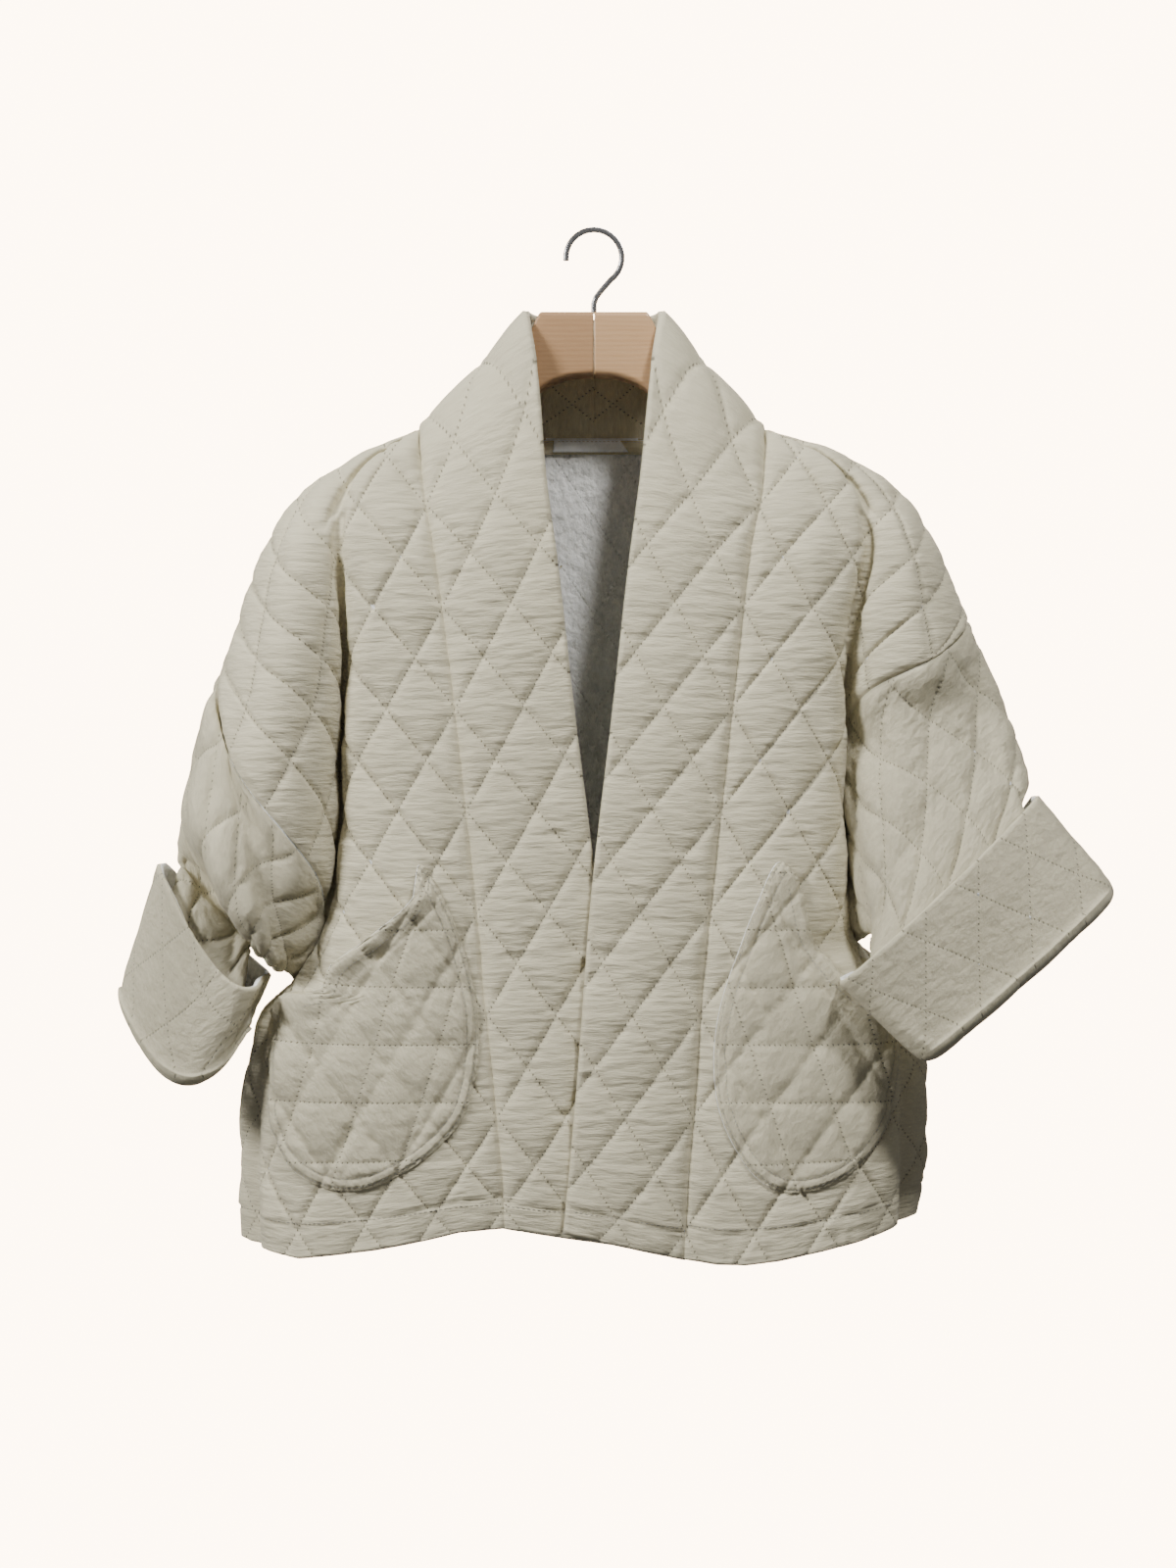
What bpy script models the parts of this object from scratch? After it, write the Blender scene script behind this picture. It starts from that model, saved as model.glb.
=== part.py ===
# Quilted kimono jacket hanging on a two-piece wooden hanger.
# Sides are the wearer's own: left is +X. The front faces -Y and +Z is up.
# The origin is the inside top of the hanger's hook. Tables are in millimetres.
# A drop is a distance below the top of the hanger's wooden block.

import math

import bmesh
import bpy
import numpy as np
from mathutils import Vector, geometry
from mathutils.bvhtree import BVHTree

for old in list(bpy.data.objects):
    bpy.data.objects.remove(old, do_unlink=True)

MM = 0.001

# Driving sizes in millimetres
BLOCK_TOP = -58.0        # height of the hanger's block below the inside of the hook
NECK_DROP = 84.0         # the neck seam
HEM_DROP = 655.0         # the mean hem
BAND_WIDTH = 82.0        # the collar band, from its seam to its free edge
DIAMOND_WIDE = 48.0      # one quilted diamond
DIAMOND_TALL = 71.0
WALL = 2.4               # the cloth at a line of quilting
PUFF = 2.4               # how far a diamond swells over its lines
BAND_WALL = 3.4          # the band is folded double
SEAM_GAP = 0.16          # each side of a seam stands back by this much
ROW_STEP = 2.5           # the grid that the panels are measured on
EDGE_STEP = DIAMOND_TALL / 4
ARMPIT_LEFT = 448.0
ARMPIT_RIGHT = 476.0

# One row for each level cut through the garment's front, x outwards from the middle.
# seam: band seam, side: valley behind the sleeve, then the side seam below the armpit,
# edge: outermost line, the others are depths, front is negative.
FRONT_COLUMNS = ("drop", "seam", "seam_y", "chest", "side", "dip", "crest", "edge", "edge_y")
FRONT_LEFT = (
    (84, 121, 0, -0.1, 121.2, -0.1, -0.1, 121.4, 0),
    (105, 119.5, -20, -24, 155, -19, -11, 181, 0),
    (130, 117.5, -30, -33, 178, -30, -22, 217, 0),
    (170, 109, -38, -41, 194, -31, -38, 243, 0),
    (225, 102.5, -40, -42, 182, -18, -46, 267, 0),
    (281, 96, -41, -43, 179, -5, -50, 290, 0),
    (336, 90, -42, -44, 179, -3, -52, 301, 0),
    (391, 84, -42, -45, 181, -5, -50, 290, 0),
    (430, 80, -42, -46, 182, -5, -30, 225, 0),
    (448, 78, -43, -46, 188, 3, 3.5, 190, 4),
    (470, 75.5, -43, -47, 200, -8, -2, 207, 6),
    (500, 73, -44, -48, 211, -18, -8, 224, 6),
    (548, 70, -45, -50, 214, -23, -10, 235, 6),
    (600, 66, -46, -52, 214, -24, -10, 235, 6),
    (655, 62, -47, -54, 212, -25, -11, 230, 6),
)
FRONT_RIGHT = (
    (84, 124, 0, -0.1, 124.2, -0.1, -0.1, 124.4, 0),
    (105, 122, -20, -24, 150, -18, -11, 169, 0),
    (130, 119, -30, -33, 168, -29, -22, 207, 0),
    (170, 112, -38, -41, 180, -33, -38, 233, 0),
    (225, 104, -40, -43, 176, -22, -48, 253, 0),
    (281, 97, -41, -44, 177, -8, -54, 272, 0),
    (336, 91, -42, -45, 179, -4, -57, 285, 0),
    (391, 85, -42, -46, 182, -3, -56, 283, 0),
    (430, 81, -42, -47, 190, -5, -45, 262, 0),
    (450, 79, -42, -47, 199, -7, -22, 236, 0),
    (476, 77, -43, -48, 214, 3, 3.5, 216, 4),
    (500, 74, -44, -49, 227, -8, -2, 235, 6),
    (548, 69, -45, -51, 233, -20, -8, 247, 6),
    (600, 65, -46, -53, 234, -22, -8, 250, 6),
    (655, 62, -47, -55, 233, -24, -9, 249, 6),
)
# The same levels through the back
REAR_COLUMNS = ("drop", "crest_x", "crest", "side_x", "dip", "before", "mid", "centre")
REAR_LEFT = (
    (84, 119, 8, 110, 18, 26, 33, 34),
    (105, 170, 10, 150, 20, 28, 33, 34),
    (130, 202, 14, 172, 24, 31, 34, 34),
    (170, 228, 20, 190, 27, 33, 35, 34),
    (225, 250, 28, 193, 24, 34, 37, 34),
    (281, 268, 34, 192, 17, 34, 39, 35),
    (336, 275, 38, 191, 12, 34, 41, 35),
    (391, 268, 38, 191, 12, 34, 42, 36),
    (430, 214, 25, 189, 13, 34, 42, 36),
    (448, 189, 4.5, 188, 4, 34, 43, 36),
    (470, 205, 13, 200, 18, 35, 43, 37),
    (500, 220, 18, 213, 25, 37, 44, 38),
    (548, 231, 20, 222, 29, 39, 45, 40),
    (600, 231, 20, 222, 30, 40, 46, 42),
    (655, 226, 21, 218, 31, 42, 48, 44),
)
REAR_RIGHT = (
    (84, 121, 8, 112, 18, 26, 33, 34),
    (105, 160, 10, 144, 20, 28, 33, 34),
    (130, 194, 14, 165, 24, 31, 34, 34),
    (170, 219, 20, 183, 27, 33, 35, 34),
    (225, 238, 28, 186, 25, 34, 37, 34),
    (281, 254, 34, 187, 19, 34, 39, 35),
    (336, 262, 38, 188, 14, 34, 41, 35),
    (391, 262, 38, 190, 10, 34, 42, 36),
    (430, 246, 34, 196, 12, 34, 42, 36),
    (450, 228, 22, 204, 13, 34, 43, 36),
    (476, 215, 4.5, 214, 4, 35, 43, 37),
    (500, 232, 16, 225, 22, 37, 44, 38),
    (548, 243, 20, 234, 29, 39, 45, 40),
    (600, 246, 20, 237, 30, 40, 46, 42),
    (655, 245, 21, 237, 31, 42, 48, 44),
)
# Where the armhole seam crosses a level: 1 is the outermost line, 0 the valley
ARMHOLES = {
    "left": {
        "top": 219.0, "pit": ARMPIT_LEFT,
        "front": ((219, 1.0), (245, 0.6), (272, 0.2), (296, 0.0), (448, 0.0)),
        "rear": ((219, 1.0), (281, 0.62), (336, 0.42), (391, 0.22), (448, 0.0)),
    },
    "right": {
        "top": 256.0, "pit": ARMPIT_RIGHT,
        "front": ((256, 1.0), (330, 0.6), (365, 0.42), (405, 0.2), (436, 0.0), (476, 0.0)),
        "rear": ((256, 1.0), (330, 0.6), (391, 0.3), (440, 0.1), (476, 0.0)),
    },
}
# How far the hem hangs below or above its mean, by x
HEM_WAVE = (
    (-250, 4), (-205, 9.5), (-150, 2), (-118, -4), (-93, -9.5), (-55, -12), (-22, -10),
    (-10, -4), (30, 4), (60, 9.5), (85, 13), (105, 13), (127, 10), (155, 4), (180, -1.5),
    (208, -9), (230, -14),
)
HEM_WAVE_FROM = 560.0    # the drop where the hem's wave begins

# Rings of each sleeve below the armhole, inner end and outer end of the flattened ring.
# front, back: how far the cloth bulges; the shifts move the middle of each half.
SLEEVE_COLUMNS = ("in_x", "in_drop", "in_y", "out_x", "out_drop", "out_y", "front", "back",
                  "front_shift_x", "front_shift_drop", "back_shift_x", "back_shift_drop")
SLEEVE_LEFT = (
    (196, 441, -24, 280, 262, -2, 34, 36, -30, -14, 18, 6),
    (195, 448, -42, 295, 302, -10, 32, 30, -18, -8, 12, 4),
    (193, 456, -57, 300, 332, -26, 27, 20, -8, -2, 6, 2),
    (194, 466, -67, 299, 353, -40, 21, 21, 0, 0, 0, 0),
    (209, 489, -73, 322, 383, -46, 18, 18, 0, 0, 0, 0),
)
SLEEVE_LEFT_END = (229.5, 512.5, -74, 346.5, 413.5, -50, 17, 17, 0, 0, 0, 0)
CUFF_LEFT_EDGE = (171, 470, -62, 306, 346, -40, 40, 42, 0, 0, 14, 20)
SLEEVE_RIGHT = (
    (220, 466, -4, 274, 288, 0, 50, 36, -10, 0, 10, 2),
    (226, 460, -10, 286, 345, -2, 56, 36, 0, 0, 6, 0),
    (232, 455, -13, 290, 370, -6, 16, 34, -2, 4, 2, 0),
    (238, 452, -15, 291, 388, -10, 4, 30, 0, 0, 0, 2),
    (246, 455, -16, 293, 403, -12, 28, 28, -8, 32, 0, 10),
)
SLEEVE_RIGHT_END = (255, 503, -16, 322, 482, -14, 32, 30, -4, 42, 0, 14)
CUFF_RIGHT_EDGE = (232, 472, -16, 305, 393, -12, 43, 41, -8, 32, 0, 10)
FOLD_RADIUS = 4.2        # half of the turned-up cuff's thickness between its linings

# The band's free edge, by its place along the seam: below the neck the place is minus the
# drop under the neck seam, past it the distance round the neck to the centre back.
# Columns: place, x, y, drop.
BAND_LEFT_FREE = (
    (-571, -20, -52, 655), (-426, -8, -50, 510), (-346, -2, -47, 428), (-197, 15, -44, 277),
    (-110, 25, -41, 186), (-46, 34.5, -34, 112), (-18, 39, -27, 62), (0, 43, -17, 24),
    (25, 46, -3, 2), (50, 45, 12, -1), (88, 34, 24, 0), (150, 0, 30, 0),
)
BAND_RIGHT_FREE = (
    (-571, -20, -39, 655), (-426, -8, -38, 510), (-346, -2, -38, 428), (-197, 16, -39, 277),
    (-110, 26, -40, 186), (-46, 35.5, -34, 112), (-18, 39, -27, 62), (0, 43, -17, 24),
    (25, 46, -3, 2), (50, 45, 12, -1), (88, 34, 24, 0), (152, 0, 30, 0),
)

# Teardrop pockets on the fronts: distance from the band seam and drop, mouth first
POCKET_LEFT = (
    (44, 390), (56, 400), (70, 440), (85, 461), (114, 486), (143, 499), (142, 545), (134, 578),
    (117, 602), (84, 615), (60, 612), (39, 596), (19, 563), (12.5, 530), (14, 494), (24, 450),
    (33, 418),
)
POCKET_RIGHT = (
    (36, 392), (42, 414), (70, 440), (100, 463), (112, 482), (150, 494), (160, 540), (158, 578),
    (143, 601), (117, 614), (88, 613), (56, 598), (27, 571), (11, 530), (7, 488), (14, 446),
    (26, 410),
)

def slopes(xs, ys):
    """Slopes of a smooth curve that never overshoots its points."""
    steps = np.diff(xs)
    rises = np.diff(ys) / steps
    result = np.zeros(len(xs))
    result[0] = rises[0]
    result[-1] = rises[-1]
    for i in range(1, len(xs) - 1):
        if rises[i - 1] * rises[i] > 0:
            near = 2 * steps[i] + steps[i - 1]
            far = steps[i] + 2 * steps[i - 1]
            result[i] = (near + far) / (near / rises[i - 1] + far / rises[i])
    return result


def follow(xs, ys, at):
    """Read the smooth curve through (xs, ys)."""
    xs = np.asarray(xs, float)
    ys = np.asarray(ys, float)
    tangents = slopes(xs, ys)
    at = np.clip(at, xs[0], xs[-1])
    i = np.clip(np.searchsorted(xs, at, side="right") - 1, 0, len(xs) - 2)
    step = xs[i + 1] - xs[i]
    u = (at - xs[i]) / step
    return ((1 + 2 * u) * (1 - u) ** 2 * ys[i] + u * (1 - u) ** 2 * step * tangents[i]
            + u * u * (3 - 2 * u) * ys[i + 1] + u * u * (u - 1) * step * tangents[i + 1])


def table_row(columns, table, drop):
    """One level of a table, as a dictionary by column."""
    drops = [row[0] for row in table]
    return {name: float(follow(drops, [row[i] for row in table], drop))
            for i, name in enumerate(columns) if i}


def smooth_line(points, per_span=16):
    """A centripetal curve through the points, with the index of each point on it."""
    points = np.asarray(points, float)
    padded = np.vstack([2 * points[0] - points[1], points, 2 * points[-1] - points[-2]])
    knots = np.concatenate([[0], np.cumsum(np.sqrt(
        np.linalg.norm(np.diff(padded, axis=0), axis=1) + 1e-9))])
    line = []
    for i in range(1, len(padded) - 2):
        t0, t1, t2, t3 = knots[i - 1:i + 3]
        t = np.linspace(t1, t2, per_span, endpoint=False)[:, None]
        a1 = (t1 - t) / (t1 - t0) * padded[i - 1] + (t - t0) / (t1 - t0) * padded[i]
        a2 = (t2 - t) / (t2 - t1) * padded[i] + (t - t1) / (t2 - t1) * padded[i + 1]
        a3 = (t3 - t) / (t3 - t2) * padded[i + 1] + (t - t2) / (t3 - t2) * padded[i + 2]
        b1 = (t2 - t) / (t2 - t0) * a1 + (t - t0) / (t2 - t0) * a2
        b2 = (t3 - t) / (t3 - t1) * a2 + (t - t1) / (t3 - t1) * a3
        line.append((t2 - t) / (t2 - t1) * b1 + (t - t1) / (t2 - t1) * b2)
    line.append(points[-1:])
    return np.vstack(line), [i * per_span for i in range(len(points))]


def lengths(line):
    """Distance along a line at each of its points."""
    return np.concatenate([[0], np.cumsum(np.linalg.norm(np.diff(line, axis=0), axis=1))])


def read_line(line, along, at):
    """Points at given distances along a line."""
    return np.stack([np.interp(at, along, line[:, k]) for k in range(line.shape[1])], axis=-1)


def side_points(side, drop):
    """The ten places that shape one side's level, from the band seam to the centre back."""
    front_table, rear_table = ((FRONT_LEFT, REAR_LEFT) if side == "left"
                               else (FRONT_RIGHT, REAR_RIGHT))
    f = table_row(FRONT_COLUMNS, front_table, drop)
    r = table_row(REAR_COLUMNS, rear_table, drop)
    reach = f["side"] - f["seam"]
    lobe = f["edge"] - f["side"]
    points = [
        (f["seam"], f["seam_y"]),
        (f["seam"] + 0.45 * reach, f["chest"]),
        (f["seam"] + 0.84 * reach, f["chest"] + 0.3 * (f["dip"] - f["chest"])),
        (f["side"], f["dip"]),
        (f["side"] + 0.14 * lobe, f["crest"] + 0.3 * (f["dip"] - f["crest"])),
        (f["side"] + 0.5 * lobe, f["crest"]),
        (f["edge"], f["edge_y"]),
        (r["crest_x"], r["crest"]),
        (r["side_x"], r["dip"]),
        (0.85 * r["side_x"], r["before"]),
        (0.5 * r["side_x"], r["mid"]),
        (0.0, r["centre"]),
    ]
    sign = 1 if side == "left" else -1
    return [(sign * x, y) for x, y in points]


PER_SPAN = 16
SIDE_AT, EDGE_AT, REAR_SIDE_AT = 3, 6, 8
levels_made = {}


def level(drop):
    """The whole cut at one drop: left band seam, round the back, to the right band seam."""
    key = round(float(drop), 4)
    if key not in levels_made:
        points = side_points("left", key) + side_points("right", key)[-2::-1]
        levels_made[key] = smooth_line(points, PER_SPAN)[0]
    return levels_made[key]


def cut(side, face, drop):
    """Where a panel's row ends on the level, as a distance along it."""
    line = level(drop)
    along = lengths(line)
    last = len(line) - 1
    hole = ARMHOLES[side]
    names = (SIDE_AT, EDGE_AT) if face == "front" else (REAR_SIDE_AT, EDGE_AT)
    marks = [m * PER_SPAN for m in names]
    if side == "right":
        marks = [last - m for m in marks]
    inner, outer = along[marks[0]], along[marks[1]]
    if drop <= hole["top"]:
        share = 1.0
    elif drop >= hole["pit"]:
        share = 0.0
        if face == "rear":
            seam = SIDE_AT * PER_SPAN if side == "left" else last - SIDE_AT * PER_SPAN
            inner = along[seam]
    else:
        drops, shares = zip(*hole[face])
        share = float(follow(drops, shares, drop))
    return inner + share * (outer - inner)


def hem_shift(x, drop):
    """The hem's own wave, fading out upwards."""
    xs, shifts = zip(*HEM_WAVE)
    fade = np.clip((drop - HEM_WAVE_FROM) / (HEM_DROP - HEM_WAVE_FROM), 0, 1) ** 1.5
    return np.interp(x, xs, shifts) * fade


def to_space(line, drop):
    """Level points as x, y, z in millimetres."""
    z = BLOCK_TOP - drop - hem_shift(line[:, 0], drop)
    return np.column_stack([line[:, 0], line[:, 1], z])


SINK_TEST = 4.0          # a wall this thick is tried on the form to find its hollows
SINK_STEP = 3            # over this many grid points each way
SINK_GAIN = 5.0
SINK_SPREAD = 10


def sink_field(p, n, loop=False):
    """How far the wall sinks behind its form: 1 in a hollow, 0 where the cloth is flat."""
    q = p + n * SINK_TEST
    tight = np.ones(p.shape[:2])
    for axis in (0, 1):
        size = p.shape[axis]
        low = np.maximum(np.arange(size) - SINK_STEP, 0)
        high = np.minimum(np.arange(size) + SINK_STEP, size - 1)
        before = np.take(p, high, axis) - np.take(p, low, axis)
        after = np.take(q, high, axis) - np.take(q, low, axis)
        reach = np.sum(before * before, axis=2)
        tight = np.minimum(tight, np.sum(before * after, axis=2) / np.maximum(reach, 1e-6))
    sink = np.clip((1 - tight) * SINK_GAIN, 0, 1)
    for _ in range(SINK_SPREAD):
        for axis in (0, 1):
            size = p.shape[axis]
            low = np.maximum(np.arange(size) - 1, 0)
            high = np.minimum(np.arange(size) + 1, size - 1)
            sink = np.maximum(sink, 0.97 * (np.take(sink, low, axis) + 2 * sink
                                            + np.take(sink, high, axis)) / 4)
    if loop:
        sink[:, 0] = sink[:, -1] = np.maximum(sink[:, 0], sink[:, -1])
    return sink


def body_grid(face, side, drops, columns):
    """A body panel as a grid: places, outward normals and pattern coordinates."""
    p, across, s, t = [], [], [], []
    for drop in drops:
        line = level(drop)
        along = lengths(line)
        if face == "rear":
            start, stop = cut("left", "rear", drop), cut("right", "rear", drop)
            origin = along[(len(line) - 1) // 2]
        elif side == "left":
            start, stop, origin = 0.0, cut("left", "front", drop), 0.0
        else:
            start, stop, origin = cut("right", "front", drop), along[-1], along[-1]
        at = np.linspace(start + SEAM_GAP, stop - SEAM_GAP, columns)
        p.append(to_space(read_line(line, along, at), drop))
        s.append(at - origin)
        t.append(np.full(columns, float(drop)))
        mids = (along[1:] + along[:-1]) / 2
        step = read_line(np.diff(line, axis=0), mids, at)
        across.append(np.column_stack([step, np.zeros(columns)]))
    p = np.array(p)
    n = np.cross(np.gradient(p, axis=0), np.array(across))
    n /= np.linalg.norm(n, axis=2, keepdims=True) + 1e-12
    return {"p": p, "n": n, "s": np.array(s), "t": np.array(t), "sink": sink_field(p, n)}


def grid_normals(p, loop=False):
    """Unit normals of a grid of points, the columns closing on themselves in a loop."""
    down = np.gradient(p, axis=0)
    if loop:
        wide = np.concatenate([p[:, -3:-1], p, p[:, 1:3]], axis=1)
        across = np.gradient(wide, axis=1)[:, 2:-2]
    else:
        across = np.gradient(p, axis=1)
    n = np.cross(down, across)
    return n / (np.linalg.norm(n, axis=2, keepdims=True) + 1e-12)


def flat_ring(row, grow=0.0, shift=0.0, columns=65):
    """A flattened ring of a sleeve: front half from the inner end out, back half home."""
    ring = dict(zip(SLEEVE_COLUMNS, row))
    inner = np.array([ring["in_x"], ring["in_y"], ring["in_drop"]])
    outer = np.array([ring["out_x"], ring["out_y"], ring["out_drop"]])
    span = outer - inner
    reach = math.hypot(span[0], span[2])
    unit = np.array([span[0] / reach, 0.0, span[2] / reach])
    up_arm = np.array([unit[2], 0.0, -unit[0]])
    inner = inner - unit * grow - up_arm * shift
    outer = outer + unit * grow - up_arm * shift
    halves = []
    for depth, face, order in ((-ring["front"] - grow, "front", 1),
                               (ring["back"] + grow, "back", -1)):
        push = (ring[face + "_shift_x"], 0.0, ring[face + "_shift_drop"])
        u = np.linspace(0, 1, 81)
        bulge = np.sin(math.pi * u)
        half = inner + np.outer((1 - np.cos(math.pi * u)) / 2, outer - inner)
        half = half + np.outer(bulge ** 2, push)
        half[:, 1] += depth * bulge ** 0.75
        if order < 0:
            half = half[::-1]
        along = lengths(half)
        halves.append(read_line(half, along, np.linspace(0, along[-1], (columns + 1) // 2)))
    return np.vstack([halves[0], halves[1][1:]])


def armhole_ring(side, columns=65):
    """The armhole seam from the armpit up the front and down the back."""
    hole = ARMHOLES[side]
    drops = np.linspace(hole["pit"] - 2 * SEAM_GAP, hole["top"] + 2 * SEAM_GAP, 90)
    halves = []
    for face in ("front", "rear"):
        outwards = 1 if (side == "left") == (face == "front") else -1
        half = []
        for drop in drops:
            line = level(drop)
            at = np.array([cut(side, face, drop) + outwards * SEAM_GAP])
            x, y = read_line(line, lengths(line), at)[0]
            half.append((abs(x), y, drop))
        half = np.array(half)
        if face == "rear":
            half = half[::-1]
        along = lengths(half)
        halves.append(read_line(half, along, np.linspace(0, along[-1], (columns + 1) // 2)))
    middle = (halves[0][-1] + halves[1][0]) / 2
    halves[0][-1] = middle
    return np.vstack([halves[0], halves[1][1:]])


RING_SPAN = 8


def sleeve_grid(side):
    """A sleeve from the armhole to the fold, and its turned-up cuff, as one grid."""
    rows, end, edge = ((SLEEVE_LEFT, SLEEVE_LEFT_END, CUFF_LEFT_EDGE) if side == "left"
                       else (SLEEVE_RIGHT, SLEEVE_RIGHT_END, CUFF_RIGHT_EDGE))
    rings = [armhole_ring(side)] + [flat_ring(row) for row in rows] + [flat_ring(end)]
    for angle in (45, 90, 135, 180):
        turn = math.radians(angle)
        rings.append(flat_ring(end, FOLD_RADIUS * (1 - math.cos(turn)),
                               FOLD_RADIUS * math.sin(turn)))
    outside = rings[-1]
    rings.append(0.5 * (outside + flat_ring(edge)))
    rings.append(flat_ring(edge))
    stack = np.array(rings)
    count, columns, _ = stack.shape
    line, _ = smooth_line(stack.reshape(count, -1), RING_SPAN)
    p = line.reshape(len(line), columns, 3)
    sign = 1 if side == "left" else -1
    p = np.stack([sign * p[:, :, 0], p[:, :, 1], BLOCK_TOP - p[:, :, 2]], axis=-1)
    n = grid_normals(p, loop=True) * sign
    fold_row = (len(rows) + 1) * RING_SPAN
    steps = np.linalg.norm(np.diff(p, axis=0), axis=2)
    t = np.vstack([np.zeros(columns), np.cumsum(steps, axis=0)])
    t = t - t[fold_row]
    round_steps = np.linalg.norm(np.diff(p, axis=1), axis=2)
    s = np.hstack([np.zeros((len(p), 1)), np.cumsum(round_steps, axis=1)])
    s = s - s[:, columns // 2:columns // 2 + 1]
    return {"p": p, "n": n, "s": s, "t": t, "sink": sink_field(p, n, loop=True)}


def band_grid(side, columns=13):
    """The collar band from the hem up, over the shoulder and round to the centre back."""
    free_table = BAND_LEFT_FREE if side == "left" else BAND_RIGHT_FREE
    places = [row[0] for row in free_table]
    sign = 1 if side == "left" else -1
    neckline = level(NECK_DROP)
    if side == "right":
        neckline = neckline[::-1]
    neck_along = lengths(neckline)
    half = neck_along[(len(neckline) - 1) // 2]
    drops = np.arange(HEM_DROP, NECK_DROP, -ROW_STEP)
    turns = np.linspace(0, half - SEAM_GAP, 60)
    seams, marks = [], []
    for drop in drops:
        line = level(drop)
        seams.append(to_space(line[[0 if side == "left" else -1]], drop)[0])
        marks.append(NECK_DROP - drop)
    for turn in turns:
        x, y = read_line(neckline, neck_along, np.array([turn]))[0]
        seams.append((x, y, BLOCK_TOP - NECK_DROP))
        marks.append(turn)
    seams, marks = np.array(seams), np.array(marks)
    free = np.column_stack([follow(places, [row[k] for row in free_table],
                                   marks * np.where(marks > 0, places[-1] / half, 1))
                            for k in (1, 2, 3)])
    free[-1, 0] = SEAM_GAP
    shift = hem_shift(sign * free[:, 0], free[:, 2])
    free = np.column_stack([sign * free[:, 0], free[:, 1], BLOCK_TOP - free[:, 2] - shift])
    across = free - seams
    unit = across / np.linalg.norm(across, axis=1, keepdims=True)
    seams = seams + unit * SEAM_GAP
    w = np.linspace(0, 1, columns)[None, :, None]
    p = seams[:, None] * (1 - w) + free[:, None] * w
    n = grid_normals(p) * sign
    swell = 2.5 * np.sin(math.pi * w)
    p = p + n * swell
    s = -sign * np.repeat(w[:, :, 0] * BAND_WIDTH, len(p), axis=0)
    t = np.repeat((NECK_DROP - marks)[:, None], columns, axis=1)
    return {"p": p, "n": n, "s": s, "t": t, "sink": sink_field(p, n), "front_rows": len(drops)}


def read_grid(grid, key, rows, cols):
    """Bilinear reading of a grid at fractional rows and columns."""
    field = grid[key]
    rows = np.clip(np.asarray(rows, float), 0, field.shape[0] - 1)
    cols = np.clip(np.asarray(cols, float), 0, field.shape[1] - 1)
    r = np.minimum(rows.astype(int), field.shape[0] - 2)
    c = np.minimum(cols.astype(int), field.shape[1] - 2)
    u, v = rows - r, cols - c
    if field.ndim == 3:
        u, v = u[:, None], v[:, None]
    return ((1 - u) * (1 - v) * field[r, c] + u * (1 - v) * field[r + 1, c]
            + (1 - u) * v * field[r, c + 1] + u * v * field[r + 1, c + 1])


class PatternMap:
    """Finds the place on a grid of a point given in pattern coordinates."""

    def __init__(self, grid):
        self.grid = grid
        rows, cols = grid["s"].shape
        flat = [(float(a), float(b), 0.0) for a, b in zip(grid["s"].ravel(), grid["t"].ravel())]
        self.cells = []
        for r in range(rows - 1):
            for c in range(cols - 1):
                a = r * cols + c
                self.cells.append((a, a + 1, a + cols + 1))
                self.cells.append((a, a + cols + 1, a + cols))
        self.flat = flat
        self.tree = BVHTree.FromPolygons(flat, self.cells, all_triangles=True)
        self.p = grid["p"].reshape(-1, 3)
        self.n = grid["n"].reshape(-1, 3)
        self.sink = grid["sink"].ravel()
        self.columns = cols

    def find(self, s, t):
        spot, _, index, _ = self.tree.find_nearest(Vector((s, t, 0.0)))
        corners = [Vector(self.flat[i]) for i in self.cells[index]]
        places = [Vector(self.p[i]) for i in self.cells[index]]
        normals = [Vector(self.n[i]) for i in self.cells[index]]
        p = geometry.barycentric_transform(spot, *corners, *places)
        n = geometry.barycentric_transform(spot, *corners, *normals)
        rest = [Vector((float(self.sink[i]), float(i // self.columns), float(i % self.columns)))
                for i in self.cells[index]]
        sink, row, column = geometry.barycentric_transform(spot, *corners, *rest)
        return np.array(p), np.array(n.normalized()), sink, (row, column)


def inside_by(points, loop):
    """Signed distance of points from a closed outline, positive inside."""
    a, b = loop, np.roll(loop, -1, axis=0)
    d = b - a
    rel = points[:, None] - a[None]
    share = np.clip(np.sum(rel * d, axis=2) / np.maximum(np.sum(d * d, axis=1), 1e-12), 0, 1)
    near = np.linalg.norm(rel - share[:, :, None] * d, axis=2).min(axis=1)
    x, y = points[:, 0:1], points[:, 1:2]
    crosses = ((a[:, 1] > y) != (b[:, 1] > y)) & (
        x < (b[:, 0] - a[:, 0]) * (y - a[:, 1]) / (b[:, 1] - a[:, 1] + 1e-12) + a[:, 0])
    return np.where(crosses.sum(axis=1) % 2 == 1, near, -near)


def puff(s, t):
    """How full the quilting is: 1 in the middle of a diamond, 0 on a stitched line."""
    u = s / DIAMOND_WIDE + t / DIAMOND_TALL
    v = s / DIAMOND_WIDE - t / DIAMOND_TALL
    return np.abs(np.sin(math.pi * u) * np.sin(math.pi * v))


def lattice(s_range, t_range):
    """Corners, middles and line midpoints of the quilted diamonds, by their place."""
    wide, tall = DIAMOND_WIDE / 2, DIAMOND_TALL / 2
    marks = {}
    for i in range(int(s_range[0] // wide) - 1, int(s_range[1] // wide) + 2):
        for j in range(int(t_range[0] // tall) - 1, int(t_range[1] // tall) + 2):
            marks[(2 * i, 2 * j)] = (i * wide, j * tall)
            marks[(2 * i + 1, 2 * j + 1)] = ((i + 0.5) * wide, (j + 0.5) * tall)
    return marks


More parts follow.
